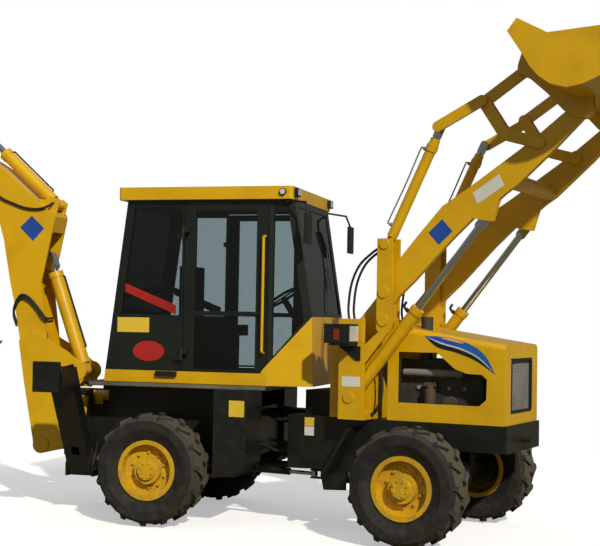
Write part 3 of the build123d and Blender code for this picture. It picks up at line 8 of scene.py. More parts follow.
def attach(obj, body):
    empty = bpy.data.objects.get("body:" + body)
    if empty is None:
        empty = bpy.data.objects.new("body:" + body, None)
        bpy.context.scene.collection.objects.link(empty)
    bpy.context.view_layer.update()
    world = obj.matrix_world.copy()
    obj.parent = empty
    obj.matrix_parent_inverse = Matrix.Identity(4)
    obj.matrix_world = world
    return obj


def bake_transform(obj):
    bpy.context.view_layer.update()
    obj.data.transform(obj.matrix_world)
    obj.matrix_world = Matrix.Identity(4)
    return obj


# Articulated backhoe loader. Metres, +X forward, +Y to the machine's left, +Z up.
# The front half is described straight ahead and turned about the pin by steerAngle.
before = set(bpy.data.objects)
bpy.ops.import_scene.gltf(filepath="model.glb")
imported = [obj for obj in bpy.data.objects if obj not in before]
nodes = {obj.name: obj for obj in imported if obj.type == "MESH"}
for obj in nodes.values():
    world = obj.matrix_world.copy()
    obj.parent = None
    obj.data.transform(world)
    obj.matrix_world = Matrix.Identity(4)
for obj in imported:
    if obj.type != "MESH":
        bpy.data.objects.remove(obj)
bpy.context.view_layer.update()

steerAngle = math.radians(-12.3)
turn = Matrix.Rotation(steerAngle, 4, "Z")
straight = Matrix.Identity(4)
bothSides = (-1, 1)


def say(stage):
    print("stage:", stage, flush=True)


# Colours are written as sRGB and used as linear values
def colour(code, alpha=1.0):
    parts = [int(code[i:i + 2], 16) / 255 for i in (0, 2, 4)]
    return [p / 12.92 if p <= 0.04045 else ((p + 0.055) / 1.055) ** 2.4 for p in parts] + [alpha]


# Each finish: base and darker tone of a slow mottle, gloss, clear coat, the dust it gathers, and its grain
finishes = {
    # Sprayed chassis enamel, warm yellow: glossy, a little uneven, dusty low down
    "yellowPaint": dict(base="E2B000", dark="D2A000", rough=0.36, coat=0.3,
                        dust="8E7A38", dustAmount=0.3, bump=0.04),
    # The same enamel on pressed wheels: duller, with road dirt
    "rimYellow": dict(base="DCAC04", dark="C49603", rough=0.45, coat=0.1,
                      dust="7C6A42", dustAmount=0.7, bump=0.08),
    # Black-green chassis enamel: half dull, dusty low down
    "darkPaint": dict(base="0E110C", dark="090B08", rough=0.45, coat=0.1,
                      dust="3A362C", dustAmount=0.3, bump=0.05),
    # Dark green cab enamel: smoother and cleaner than the chassis
    "cabDark": dict(base="151B15", dark="0F140F", rough=0.4, coat=0.2,
                    dust="3A382C", dustAmount=0.1, bump=0.03),
    # Moulded carbon-black rubber: dull, its tread worn grey-brown
    "tyreRubber": dict(base="181714", dark="11100F", rough=0.85, coat=0.0,
                       dust="5E5848", dustAmount=0.3, bump=0.25, bevel=0.014, treadDust=0.75),
    # Moulded ABS: even, half dull
    "plasticBlack": dict(base="161616", dark="0E0E0E", rough=0.5, coat=0.0,
                         dust="4A4538", dustAmount=0.15, bump=0.05),
    # Sand-cast iron with oil and dirt: rough grain
    "castIron": dict(base="3A3A38", dark="242423", rough=0.6, coat=0.0,
                     dust="4A4034", dustAmount=0.5, bump=0.3),
    # Woven seat cloth: no shine
    "seatCloth": dict(base="1D1E20", dark="121213", rough=0.9, coat=0.0,
                      dust="303030", dustAmount=0.1, bump=0.35),
    # Zinc-plated pipe and fittings: pale, soft shine
    "bareSteel": dict(base="8E8C84", dark="6A6862", rough=0.42, coat=0.0,
                      dust="6A5A44", dustAmount=0.3, bump=0.1),
    # Printed vinyl film: smooth, with a thin gloss. The stripe's blue shifts a little towards green.
    "labelWhite": dict(base="E6E4DC", dark="D6D3C8", rough=0.45, coat=0.2,
                       dust="A09880", dustAmount=0.2, bump=0.0),
    "labelBlue": dict(base="1F4FA8", dark="1A4390", rough=0.4, coat=0.2,
                      dust="808080", dustAmount=0.1, bump=0.0),
    "labelRed": dict(base="B3231C", dark="981B16", rough=0.4, coat=0.2,
                     dust="808080", dustAmount=0.1, bump=0.0),
    "labelYellow": dict(base="E8C53A", dark="D9B52E", rough=0.45, coat=0.2,
                        dust="A09060", dustAmount=0.2, bump=0.0),
    "swooshBlue": dict(base="1C4FB4", dark="1A6FA8", rough=0.35, coat=0.3,
                       dust="808080", dustAmount=0.05, bump=0.0),
    "silverLine": dict(base="C9CDD0", dark="B5B9BC", rough=0.35, coat=0.3,
                       dust="808080", dustAmount=0.05, bump=0.0),
    # Extruded hose rubber: smooth but dull
    "hoseRubber": dict(base="191919", dark="101010", rough=0.62, coat=0.0,
                       dust="4A4538", dustAmount=0.3, bump=0.1),
    # Galvanised mesh: flat grey
    "grilleGrey": dict(base="8C8C86", dark="767670", rough=0.5, coat=0.0,
                       dust="6A6250", dustAmount=0.3, bump=0.0),
    # Rolled steel with its enamel rubbed off: grey with dried mud
    "wornGrey": dict(base="6E6A5C", dark="4E4B40", rough=0.6, coat=0.0,
                     dust="8A8474", dustAmount=0.4, bump=0.05),
    # Iron that has been hot: brown rust, no shine
    "rustyIron": dict(base="5A4434", dark="3A2A20", rough=0.75, coat=0.0,
                      dust="5A4A38", dustAmount=0.4, bump=0.3),
}
# Patterns in a metre: mottling about half a metre across, dust a hand's width, and grain 17 mm
patternScale = dict(mottle=2.2, dust=9.0, grain=60.0)
dustHeight = dict(full=0.2, least=2.2, leastShare=0.15)


# Adds one node: its settings, then its inputs, where a socket is linked and anything else is a value
def node(tree, kind, inputs=None, **settings):
    made = tree.nodes.new(kind)
    for key, value in settings.items():
        setattr(made, key, value)
    for key, value in (inputs or {}).items():
        if isinstance(value, bpy.types.NodeSocket):
            tree.links.new(value, made.inputs[key])
        else:
            made.inputs[key].default_value = value
    return made


def newMaterial(name):
    material = bpy.data.materials.new(name)
    material.use_nodes = True
    material.node_tree.nodes.clear()
    return material, material.node_tree


# A painted, moulded or bare surface: base colour with slow mottling, dust low down, and fine bump
def finish(name, base, dark, rough, coat, dust, dustAmount, bump, bevel=0.004, treadDust=0.0):
    material, tree = newMaterial(name)
    place = node(tree, "ShaderNodeTexCoord").outputs["Object"]
    mottle = node(tree, "ShaderNodeTexNoise", {"Vector": place, "Scale": patternScale["mottle"],
                                               "Detail": 4.0, "Roughness": 0.55})
    spread = node(tree, "ShaderNodeMapRange", {"Value": mottle.outputs["Fac"], "From Min": 0.3,
                                               "From Max": 0.55})
    tones = node(tree, "ShaderNodeMix", {"Factor": spread.outputs["Result"], "A": colour(dark),
                                         "B": colour(base)}, data_type="RGBA")
    # Dust comes in patches, most of it near the ground
    split = node(tree, "ShaderNodeSeparateXYZ", {"Vector": place})
    height = node(tree, "ShaderNodeMapRange", {"Value": split.outputs["Z"], "From Min": dustHeight["full"],
                                               "From Max": dustHeight["least"], "To Min": 1.0,
                                               "To Max": dustHeight["leastShare"]})
    specks = node(tree, "ShaderNodeTexNoise", {"Vector": place, "Scale": patternScale["dust"], "Detail": 8.0,
                                               "Roughness": 0.7})
    patch = node(tree, "ShaderNodeMapRange", {"Value": specks.outputs["Fac"], "From Min": 0.42,
                                              "From Max": 0.72, "To Max": dustAmount})
    amount = node(tree, "ShaderNodeMath", {0: height.outputs["Result"], 1: patch.outputs["Result"]},
                  operation="MULTIPLY", use_clamp=True)
    if treadDust:
        # A tyre's tread faces wear and dust over, its sidewalls don't
        faces = node(tree, "ShaderNodeNewGeometry")
        sideways = node(tree, "ShaderNodeVectorMath", {0: faces.outputs["True Normal"], 1: (0.0, 1.0, 0.0)},
                        operation="DOT_PRODUCT")
        turned = node(tree, "ShaderNodeMath", {0: sideways.outputs["Value"]}, operation="ABSOLUTE")
        tread = node(tree, "ShaderNodeMapRange", {"Value": turned.outputs["Value"], "From Min": 0.75,
                                                  "From Max": 0.35, "To Max": treadDust})
        amount = node(tree, "ShaderNodeMath", {0: amount.outputs["Value"], 1: tread.outputs["Result"]},
                      operation="MAXIMUM")
    dusty = node(tree, "ShaderNodeMix", {"Factor": amount.outputs["Value"], "A": tones.outputs["Result"],
                                         "B": colour(dust)}, data_type="RGBA")
    dull = node(tree, "ShaderNodeMapRange", {"Value": amount.outputs["Value"], "To Min": rough,
                                             "To Max": 0.85})
    grain = node(tree, "ShaderNodeTexNoise", {"Vector": place, "Scale": patternScale["grain"], "Detail": 3.0})
    # Edges are rounded in the shading only
    soft = node(tree, "ShaderNodeBevel", {"Radius": bevel}, samples=4)
    raised = node(tree, "ShaderNodeBump", {"Height": grain.outputs["Fac"], "Normal": soft.outputs["Normal"],
                                           "Strength": bump, "Distance": 0.004})
    shader = node(tree, "ShaderNodeBsdfPrincipled", {
        "Base Color": dusty.outputs["Result"], "Roughness": dull.outputs["Result"],
        "Normal": raised.outputs["Normal"], "Coat Weight": coat, "Coat Roughness": 0.18})
    node(tree, "ShaderNodeOutputMaterial", {"Surface": shader.outputs["BSDF"]})
    return material


# Hard chrome, ground and polished: a bright grey mirror
def rodChrome():
    material, tree = newMaterial("rodChrome")
    shader = node(tree, "ShaderNodeBsdfPrincipled", {"Base Color": colour("C4C8CC"), "Metallic": 1.0,
                                                     "Roughness": 0.16})
    node(tree, "ShaderNodeOutputMaterial", {"Surface": shader.outputs["BSDF"]})
    return material


# Float glass in thin panes: a grey tint to what is seen through it, and a mirror at low angles
def windowGlass():
    material, tree = newMaterial("windowGlass")
    shine = node(tree, "ShaderNodeBsdfGlossy", {"Color": colour("FFFFFF"), "Roughness": 0.02})
    through = node(tree, "ShaderNodeBsdfTransparent", {"Color": colour("D4DBDC")})
    edge = node(tree, "ShaderNodeFresnel", {"IOR": 1.5})
    both = node(tree, "ShaderNodeMixShader", {"Fac": edge.outputs["Fac"], 1: through.outputs["BSDF"],
                                              2: shine.outputs["BSDF"]})
    node(tree, "ShaderNodeOutputMaterial", {"Surface": both.outputs["Shader"]})
    return material


# Moulded polycarbonate lens over its reflector: glossy, with fine ribs about 7 mm apart
lensRibs = dict(scale=45.0, strength=0.25, depth=0.003)


def lampLens(name, tint, reflector=0.0):
    material, tree = newMaterial(name)
    place = node(tree, "ShaderNodeTexCoord")
    ribs = node(tree, "ShaderNodeTexWave", {"Vector": place.outputs["Object"], "Scale": lensRibs["scale"],
                                            "Distortion": 0.0})
    raised = node(tree, "ShaderNodeBump", {"Height": ribs.outputs["Fac"], "Strength": lensRibs["strength"],
                                           "Distance": lensRibs["depth"]})
    shader = node(tree, "ShaderNodeBsdfPrincipled", {
        "Base Color": colour(tint), "Roughness": 0.12, "Coat Weight": 0.6, "Metallic": reflector,
        "Normal": raised.outputs["Normal"]})
    node(tree, "ShaderNodeOutputMaterial", {"Surface": shader.outputs["BSDF"]})
    return material


say("materials")
materials = {name: finish(name, **settings) for name, settings in finishes.items()}
materials["rodChrome"] = rodChrome()
materials["windowGlass"] = windowGlass()
materials["lampClear"] = lampLens("lampClear", "E4E8E6", 0.3)
materials["lampAmber"] = lampLens("lampAmber", "8A2C10")

# Which material each CAD node wears
dressed = {
    "yellowPaint": "cab_cowl cab_roof towers hood loader_arms loader_rockers loader_levers loader_bucket"
                   " lift_barrels tilt_barrels boom boom_barrel crowd_barrel dipper hoe_barrel hoe_tippers"
                   " hoe_link hoe_bucket rear_cylinders swing_post",
    "rimYellow": "wheel_front_right wheel_front_left wheel_rear_right wheel_rear_left",
    "darkPaint": "rear_frame side_tanks rear_axle front_axle front_frame stabiliser_right stabiliser_left"
                 " steer_barrel_right steer_barrel_left",
    "cabDark": "cab_frame door_right door_left",
    "plasticBlack": "roof_fittings console headlamps grille",
    "tyreRubber": "tyre_front_right tyre_front_left tyre_rear_right tyre_rear_left",
    "castIron": "engine",
    "seatCloth": "seat",
    "windowGlass": "cab_glass door_glass_right door_glass_left",
    "rodChrome": "lift_rods tilt_rods steer_rod_right steer_rod_left stabiliser_rod_right"
                 " stabiliser_rod_left boom_rod crowd_rod hoe_rod",
}
for materialName, names in dressed.items():
    for cadName in names.split():
        mesh = nodes[cadName].data
        mesh.materials.clear()
        mesh.materials.append(materials[materialName])


# One way in for every piece that the scene adds
def addPiece(name, points, faces, material, body, place=straight, smooth=False):
    mesh = bpy.data.meshes.new(name)
    placed = points @ np.array(place.to_3x3()).T
    mesh.from_pydata(placed.tolist(), [], faces)
    mesh.update()
    mesh.materials.append(materials[material])
    if smooth:
        mesh.polygons.foreach_set("use_smooth", [True] * len(mesh.polygons))
    made = bpy.data.objects.new(name, mesh)
    bpy.context.scene.collection.objects.link(made)
    if body:
        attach(made, body)
    return made


# The smaller and the larger of two distances from the middle, on one side of the machine
def span(side, inner, outer):
    return sorted((side * inner, side * outer))


# A smooth curve through points: each stretch is the cubic that the four points about it give (Catmull-Rom)
def smoothPath(path, steps):
    points = np.array([tuple(p) for p in path], dtype=float)
    points = np.vstack((2 * points[0] - points[1], points, 2 * points[-1] - points[-2]))
    p0, p1, p2, p3 = (points[i:len(points) - 3 + i, None, :] for i in range(4))
    t = (np.arange(steps) / steps)[None, :, None]
    curve = 0.5 * (2 * p1 + (p2 - p0) * t + (2 * p0 - 5 * p1 + 4 * p2 - p3) * t ** 2
                   + (3 * p1 - p0 - 3 * p2 + p3) * t ** 3)
    return np.vstack((curve.reshape(-1, 3), points[-2]))


# Rings of points in a row: four-sided walls from each ring to the next, and a cap at both ends
def ringFaces(rings, sides):
    start = sides * np.arange(rings - 1)[:, None]
    here = np.arange(sides)
    following = (here + 1) % sides
    walls = np.stack((start + here, start + following, start + sides + following, start + sides + here),
                     axis=-1)
    last = sides * (rings - 1)
    caps = [list(range(sides))[::-1], list(range(last, last + sides))]
    return walls.reshape(-1, 4).tolist() + caps


# Cosine and sine of equal steps round a circle
def circleSteps(sides):
    angles = 2 * np.pi * np.arange(sides) / sides
    return np.cos(angles), np.sin(angles)


# Shapes gathered as points and faces, so that many small ones make one piece
class Shapes:
    def __init__(self):
        self.points = []
        self.faces = []
        self.count = 0

    def add(self, points, faces):
        points = np.array(points, dtype=float).reshape(-1, 3)
        self.points.append(points)
        self.faces += [[self.count + i for i in face] for face in faces]
        self.count += len(points)

    # A box: the eight corners between low and high, X running fastest and Z slowest
    def box(self, low, high):
        z, y, x = np.meshgrid(*((low[k], high[k]) for k in (2, 1, 0)), indexing="ij")
        self.add(np.stack((x, y, z), axis=-1),
                 [(0, 2, 3, 1), (4, 5, 7, 6), (0, 1, 5, 4), (2, 6, 7, 3), (0, 4, 6, 2), (1, 3, 7, 5)])

    # A rod or cone: the same circle across the line at both ends, each times its radius
    def rod(self, start, end, radius, sides=12, endRadius=None):
        start, end = Vector(start), Vector(end)
        run = (end - start).normalized()
        across = run.orthogonal().normalized()
        up = run.cross(across)
        cosine, sine = circleSteps(sides)
        circle = np.outer(cosine, across) + np.outer(sine, up)
        ends = ((start, radius), (end, radius if endRadius is None else endRadius))
        self.add([np.array(centre) + size * circle for centre, size in ends], ringFaces(2, sides))

    # A tube: a circle carried along a smooth path, turned as little as can be from one ring to the next
    def tube(self, path, radius, sides=10, steps=8):
        centres = smoothPath(path, steps)
        padded = np.vstack((centres[0], centres, centres[-1]))
        ahead = padded[2:] - padded[:-2]
        ahead /= np.linalg.norm(ahead, axis=1)[:, None]
        across = np.empty_like(ahead)
        sideways = np.array(Vector(ahead[0]).orthogonal())
        for ring, direction in enumerate(ahead):
            sideways = sideways - direction * sideways.dot(direction)
            sideways /= np.linalg.norm(sideways)
            across[ring] = sideways
        up = np.cross(ahead, across)
        cosine, sine = circleSteps(sides)
        circles = across[:, None] * cosine[None, :, None] + up[:, None] * sine[None, :, None]
        self.add(centres[:, None] + radius * circles, ringFaces(len(centres), sides))

    # A plate: an outline in X and Z, the same at both Y, with walls between
    def plate(self, outline, y0, y1):
        x, z = np.array(outline, dtype=float).T
        self.add([np.stack((x, np.full_like(x, y), z), axis=1) for y in (y0, y1)], ringFaces(2, len(x)))

    def make(self, name, material, body, place=straight, smooth=False, slotName=None):
        points = np.concatenate(self.points)
        return addPiece(name, points, self.faces, material, body, place, smooth)


# Places by a cylinder: distance from its base pin, distance out on its upper side, and Y
def besideCylinder(base, tip):
    foot = np.array((base[0], 0.0, base[1]))
    run = np.array((tip[0], 0.0, tip[1])) - foot
    run /= np.linalg.norm(run)
    outward = np.array((-run[2], 0.0, run[0]))
    return lambda along, out, y=0.0: foot + run * along + outward * out + np.array((0.0, y, 0.0))


# Wheels: rings of nuts on the discs and on the hub caps
say("wheels")
wheels = {
    "front_right": dict(x=1.7, side=-1, place=turn),
    "front_left": dict(x=1.7, side=1, place=turn),
    "rear_right": dict(x=-1.05, side=-1, place=straight),
    "rear_left": dict(x=-1.05, side=1, place=straight),
}
wheelShape = dict(axleHeight=0.53, middleY=0.935, rimHalf=0.165, discDepth=0.09, nutSunk=0.002)
nutRings = [
    dict(count=10, circle=0.165, radius=0.015, length=0.022, proud=0.0),
    dict(count=8, circle=0.068, radius=0.008, length=0.012, proud=0.096),
]
discY = wheelShape["middleY"] + wheelShape["rimHalf"] - wheelShape["discDepth"]
for wheelName, wheel in wheels.items():
    nuts = Shapes()
    for ring in nutRings:
        base = discY + ring["proud"]
        for i in range(ring["count"]):
            angle = 2 * math.pi * (i + 0.5) / ring["count"]
            x = wheel["x"] + ring["circle"] * math.cos(angle)
            z = wheelShape["axleHeight"] + ring["circle"] * math.sin(angle)
            nuts.rod((x, wheel["side"] * (base - wheelShape["nutSunk"]), z),
                     (x, wheel["side"] * (base + ring["length"]), z), ring["radius"], 6)
    nuts.make("wheelNuts_" + wheelName, "rimYellow", "wheel_" + wheelName, wheel["place"],
              slotName="yellow_paint")

# Hood: a crescent stripe in three bands, laid on the sheet a little proud of it
say("hood")
hood = dict(side=0.470, lift=0.0012, radius=0.055, rollShare=0.95,
            topX=(1.285, 1.590, 2.405), topZ=(1.945, 1.890, 1.772))


# Y of the side sheet at X and Z: flat to one radius below the top line, then in along a circle of that radius
def hoodY(x, z):
    rise = z - (np.interp(x, hood["topX"], hood["topZ"]) - hood["radius"])
    rise = np.clip(rise, 0.0, hood["radius"] * hood["rollShare"])
    return hood["side"] - (hood["radius"] - np.sqrt(hood["radius"] ** 2 - rise ** 2)) + hood["lift"]


stripe = dict(
    top=[(1.640, 0, 1.838), (1.869, 0, 1.826), (2.078, 0, 1.770), (2.219, 0, 1.676), (2.320, 0, 1.509)],
    foot=[(1.640, 0, 1.838), (1.768, 0, 1.737), (1.938, 0, 1.695), (2.127, 0, 1.629), (2.320, 0, 1.509)],
    steps=10,
)
stripeBands = [
    dict(name="stripeBlue", low=0.0, high=0.52, material="swooshBlue"),
    dict(name="stripeSilver", low=0.52, high=0.66, material="silverLine"),
    dict(name="stripeDark", low=0.66, high=1.0, material="cabDark"),
]
topLine = smoothPath(stripe["top"], stripe["steps"])
footLine = smoothPath(stripe["foot"], stripe["steps"])
corner = 3 * np.arange(len(topLine) - 1)[:, None] + np.arange(2)
stripeFaces = np.stack((corner, corner + 1, corner + 4, corner + 3), axis=-1).reshape(-1, 4).tolist()
for band in stripeBands:
    strip = Shapes()
    share = np.linspace(band["low"], band["high"], 3)[None, :, None]
    rows = topLine[:, None] * (1 - share) + footLine[:, None] * share
    for side in bothSides:
        rows[..., 1] = side * hoodY(rows[..., 0], rows[..., 2])
        strip.add(rows, stripeFaces)
    strip.make(band["name"], band["material"], "front", turn, slotName="yellow_paint")

# Grille: fine upright and level bars in the frame's recess
say("grille")
grille = dict(x=2.378, half=0.275, low=1.186, high=1.624, uprights=34, levels=22, bar=0.0032, depth=0.006,
              levelShift=0.001)
bars = Shapes()
for y in np.linspace(-grille["half"], grille["half"], grille["uprights"]):
    bars.box((grille["x"], y - grille["bar"], grille["low"]),
             (grille["x"] + grille["depth"], y + grille["bar"], grille["high"]))
levelX = grille["x"] + grille["levelShift"]
for z in np.linspace(grille["low"], grille["high"], grille["levels"]):
    bars.box((levelX, -grille["half"], z - grille["bar"]),
             (levelX + grille["depth"], grille["half"], z + grille["bar"]))
bars.make("grilleBars", "grilleGrey", "front", turn, slotName="grille")

# Lamps: lenses on the loader towers' headlamps and on the roof
say("lamps")
headlamp = dict(inner=0.700, outer=0.862, back=1.070, front=1.092, low=1.776, high=1.913)
turnLamp = dict(inner=0.872, outer=0.886, back=0.930, front=0.985, low=1.786, high=1.886)
clear = Shapes()
amber = Shapes()
for lamp, shape in ((headlamp, clear), (turnLamp, amber)):
    for side in bothSides:
        y0, y1 = span(side, lamp["inner"], lamp["outer"])
        shape.box((lamp["back"], y0, lamp["low"]), (lamp["front"], y1, lamp["high"]))
clear.make("headlampLenses", "lampClear", "front", turn, slotName="glass")
amber.make("turnLamps", "lampAmber", "front", turn, slotName="glass")
roofLamp = dict(z=3.1677, half=0.032, inner=0.590, outer=0.670, back=0.257, front=0.265)
sideLamp = dict(x=0.124, z=3.1677, inner=0.748, outer=0.754, radius=0.026)
roofLenses = Shapes()
for side in bothSides:
    y0, y1 = span(side, roofLamp["inner"], roofLamp["outer"])
    roofLenses.box((roofLamp["back"], y0, roofLamp["z"] - roofLamp["half"]),
                   (roofLamp["front"], y1, roofLamp["z"] + roofLamp["half"]))
    roofLenses.rod((sideLamp["x"], side * sideLamp["inner"], sideLamp["z"]),
                   (sideLamp["x"], side * sideLamp["outer"], sideLamp["z"]), sideLamp["radius"], 20)
roofLenses.make("roofLampLenses", "lampClear", "rear", slotName="glass")

# Blank labels on both sides, each a thin plate on its panel: corners in X and Z, and the panel's Y
say("labels")
labels = [
    dict(name="tankLabel", body="rear", place=straight, y=0.880, material="labelYellow",
         corners=[(-0.321, 1.195), (-0.170, 1.195), (-0.170, 1.043), (-0.321, 1.043)]),
    dict(name="quarterLabel", body="rear", place=straight, y=0.670, material="labelYellow",
         corners=[(-1.560, 1.956), (-1.225, 1.956), (-1.225, 1.812), (-1.560, 1.812)]),
    dict(name="frameLabel", body="front", place=turn, y=0.455, material="labelYellow",
         corners=[(0.430, 1.040), (0.530, 1.040), (0.530, 0.960), (0.430, 0.960)]),
    dict(name="frameLabelFoot", body="front", place=turn, y=0.455, material="labelWhite",
         corners=[(0.430, 0.955), (0.530, 0.955), (0.530, 0.870), (0.430, 0.870)]),
    dict(name="columnLabel", body="front", place=turn, y=0.666, material="labelWhite",
         corners=[(0.915, 1.452), (1.099, 1.452), (1.099, 1.359), (0.915, 1.359)]),
    dict(name="armLabel", body="loader_arms", place=turn, y=0.605, material="labelBlue",
         corners=[(1.722, 2.760), (1.852, 2.880), (1.952, 2.770), (1.822, 2.650)]),
    dict(name="armPlate", body="loader_arms", place=turn, y=0.605, material="labelWhite",
         corners=[(2.135, 3.105), (2.375, 3.262), (2.425, 3.160), (2.180, 3.003)]),
    dict(name="boomLabel", body="boom", place=straight, y=0.150, material="labelBlue",
         corners=[(-2.788, 3.000), (-2.640, 2.867), (-2.767, 2.735), (-2.920, 2.880)]),
]
labelSheet = dict(sunk=0.0004, proud=0.0012)
for label in labels:
    sheet = Shapes()
    for side in bothSides:
        y0, y1 = span(side, label["y"] - labelSheet["sunk"], label["y"] + labelSheet["proud"])
        sheet.plate(label["corners"], y0, y1)
    sheet.make(label["name"], label["material"], label["body"], label["place"])

# Oval red patch on the lower quarter panel
oval = dict(x=-1.227, z=1.632, across=0.164, high=0.098, sides=28, inner=0.6696, outer=0.6712)
cosine, sine = circleSteps(oval["sides"])
outline = np.stack((oval["x"] + oval["across"] * cosine, oval["z"] + oval["high"] * sine), axis=1)
patch = Shapes()
for side in bothSides:
    patch.plate(outline, *span(side, oval["inner"], oval["outer"]))
patch.make("ovalPatch", "labelRed", "rear")

# Slanted red band behind the quarter glass
windowBand = dict(corners=[(-1.490, 2.290), (-1.490, 2.205), (-0.955, 1.990), (-0.955, 2.080)],
                  inner=0.6585, outer=0.6595)
redBand = Shapes()
for side in bothSides:
    redBand.plate(windowBand["corners"], *span(side, windowBand["inner"], windowBand["outer"]))
redBand.make("windowBand", "labelRed", "rear")

# Worn edge of the deck under the cab
deckEdge = dict(rear=-1.790, front=0.005, inner=0.7896, outer=0.7912, low=1.294, high=1.3285)
edge = Shapes()
for side in bothSides:
    y0, y1 = span(side, deckEdge["inner"], deckEdge["outer"])
    edge.box((deckEdge["rear"], y0, deckEdge["low"]), (deckEdge["front"], y1, deckEdge["high"]))
edge.make("deckEdge", "wornGrey", "rear", slotName="dark_paint")

# Cab: grab rails, latch boxes, door handles and the wiper
say("cab")
grabRail = dict(x=-0.057, radius=0.014,
                path=[(0.672, 1.640), (0.735, 1.655), (0.735, 1.720), (0.735, 2.200), (0.735, 2.680),
                      (0.735, 2.735), (0.672, 2.750)])
rails = Shapes()
for side in bothSides:
    rails.tube([(grabRail["x"], side * y, z) for y, z in grabRail["path"]], grabRail["radius"], 12, 6)
rails.make("grabRails", "yellowPaint", "rear", smooth=True, slotName="yellow_paint")
latchBox = dict(rear=-1.140, front=-0.930, inner=0.668, outer=0.705, low=1.395, high=1.442)
latches = Shapes()
for side in bothSides:
    y0, y1 = span(side, latchBox["inner"], latchBox["outer"])
    latches.box((latchBox["rear"], y0, latchBox["low"]), (latchBox["front"], y1, latchBox["high"]))
latches.make("latchBoxes", "plasticBlack", "rear", slotName="dark_paint")
doorHandle = dict(rear=-0.140, front=-0.060, inner=0.668, outer=0.684, low=1.985, high=2.035, radius=0.009,
                  grip=[(-0.120, 0.682), (-0.125, 0.712), (-0.180, 0.716), (-0.240, 0.714)], gripZ=2.010)
for side, body in ((-1, "door_right"), (1, "door_left")):
    handle = Shapes()
    y0, y1 = span(side, doorHandle["inner"], doorHandle["outer"])
    handle.box((doorHandle["rear"], y0, doorHandle["low"]), (doorHandle["front"], y1, doorHandle["high"]))
    handle.tube([(x, side * y, doorHandle["gripZ"]) for x, y in doorHandle["grip"]],
                doorHandle["radius"], 10, 6)
    handle.make("doorHandle_" + body, "plasticBlack", body, slotName="dark_paint")
wiper = dict(
    arm=[(0.385, -0.02, 2.020), (0.372, 0.05, 2.150), (0.345, 0.16, 2.330), (0.318, 0.26, 2.480)],
    armRadius=0.006,
    blade=[(0.362, 0.24, 2.260), (0.330, 0.26, 2.480), (0.300, 0.275, 2.660)],
    bladeRadius=0.008,
)
wiping = Shapes()
wiping.tube(wiper["arm"], wiper["armRadius"], 8, 6)
wiping.tube(wiper["blade"], wiper["bladeRadius"], 8, 6)
wiping.make("wiper", "plasticBlack", "rear", slotName="dark_paint")

# Hoses along the boom: a pair over its foot and one at its bend, all on the right
say("hoses")
hoseRadius = 0.013
boomHose = dict(
    foot=[(-2.560, -0.070, 1.900), (-2.590, -0.168, 1.905), (-2.700, -0.172, 2.030), (-2.790, -0.172, 2.115),
          (-2.874, -0.172, 2.138), (-2.935, -0.172, 2.060), (-2.960, -0.165, 1.960), (-2.925, -0.156, 1.840)],
    footLifts=(0.0, 0.030),
    bend=[(-2.560, -0.115, 3.140), (-2.600, -0.160, 3.100), (-2.700, -0.166, 3.070), (-2.850, -0.166, 3.080),
          (-3.000, -0.166, 3.130), (-3.170, -0.166, 3.210), (-3.330, -0.160, 3.400)],
)
boomHoses = Shapes()
for lift in boomHose["footLifts"]:
    boomHoses.tube([(x, y, z + lift) for x, y, z in boomHose["foot"]], hoseRadius)
boomHoses.tube(boomHose["bend"], hoseRadius)
boomHoses.make("boomHoses", "hoseRubber", "boom", smooth=True, slotName="dark_paint")

# Hoses at the towers: two loops up to each tower's head, and one in front of its foot
towerHose = dict(
    loop=[(0.0, 0.560, 1.970), (-0.01, 0.560, 2.090), (0.02, 0.565, 2.300), (0.10, 0.570, 2.470),
          (0.22, 0.572, 2.580), (0.315, 0.574, 2.640)],
    loopStarts=(0.930, 0.985), headSpread=0.02, loopRadius=hoseRadius * 0.9,
    foot=[(1.120, 1.100), (1.180, 1.130), (1.235, 1.260), (1.245, 1.390), (1.225, 1.500)], footY=0.497,
)
towerHoses = Shapes()
for side in bothSides:
    for number, start in enumerate(towerHose["loopStarts"]):
        loop = [(start + x, side * y, z) for x, y, z in towerHose["loop"]]
        x, y, z = loop[-1]
        loop[-1] = (x + number * towerHose["headSpread"], y, z)
        towerHoses.tube(loop, towerHose["loopRadius"])
    towerHoses.tube([(x, side * towerHose["footY"], z) for x, z in towerHose["foot"]], hoseRadius)
towerHoses.make("towerHoses", "hoseRubber", "front", turn, smooth=True, slotName="dark_paint")

# Hoses across the pivot: each one runs from the rear frame to the turned front frame, sagging between them
pivotHose = dict(rearX=-0.200, frontX=0.252, spread=1.1, sag=0.045, radius=0.016, lead=0.05, drift=0.01)
pivotHoses = [
    dict(name="pivotHoseA", y=-0.20, z=1.030), dict(name="pivotHoseB", y=-0.10, z=1.055),
    dict(name="pivotHoseC", y=0.10, z=1.055), dict(name="pivotHoseD", y=0.20, z=1.030),
    dict(name="pivotHoseE", y=-0.26, z=0.730), dict(name="pivotHoseF", y=0.26, z=0.730),
]
for hose in pivotHoses:
    start = Vector((pivotHose["rearX"], hose["y"], hose["z"]))
    end = turn @ Vector((pivotHose["frontX"], hose["y"] * pivotHose["spread"], hose["z"]))
    middle = (start + end) / 2 - Vector((0, 0, pivotHose["sag"]))
    shape = Shapes()
    shape.tube([start, start + Vector((pivotHose["lead"], 0, 0)), middle,
                end - Vector((pivotHose["lead"], -pivotHose["drift"], 0)), end], pivotHose["radius"])
    made = shape.make(hose["name"], "hoseRubber", None, smooth=True, slotName="dark_paint")
    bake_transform(made)

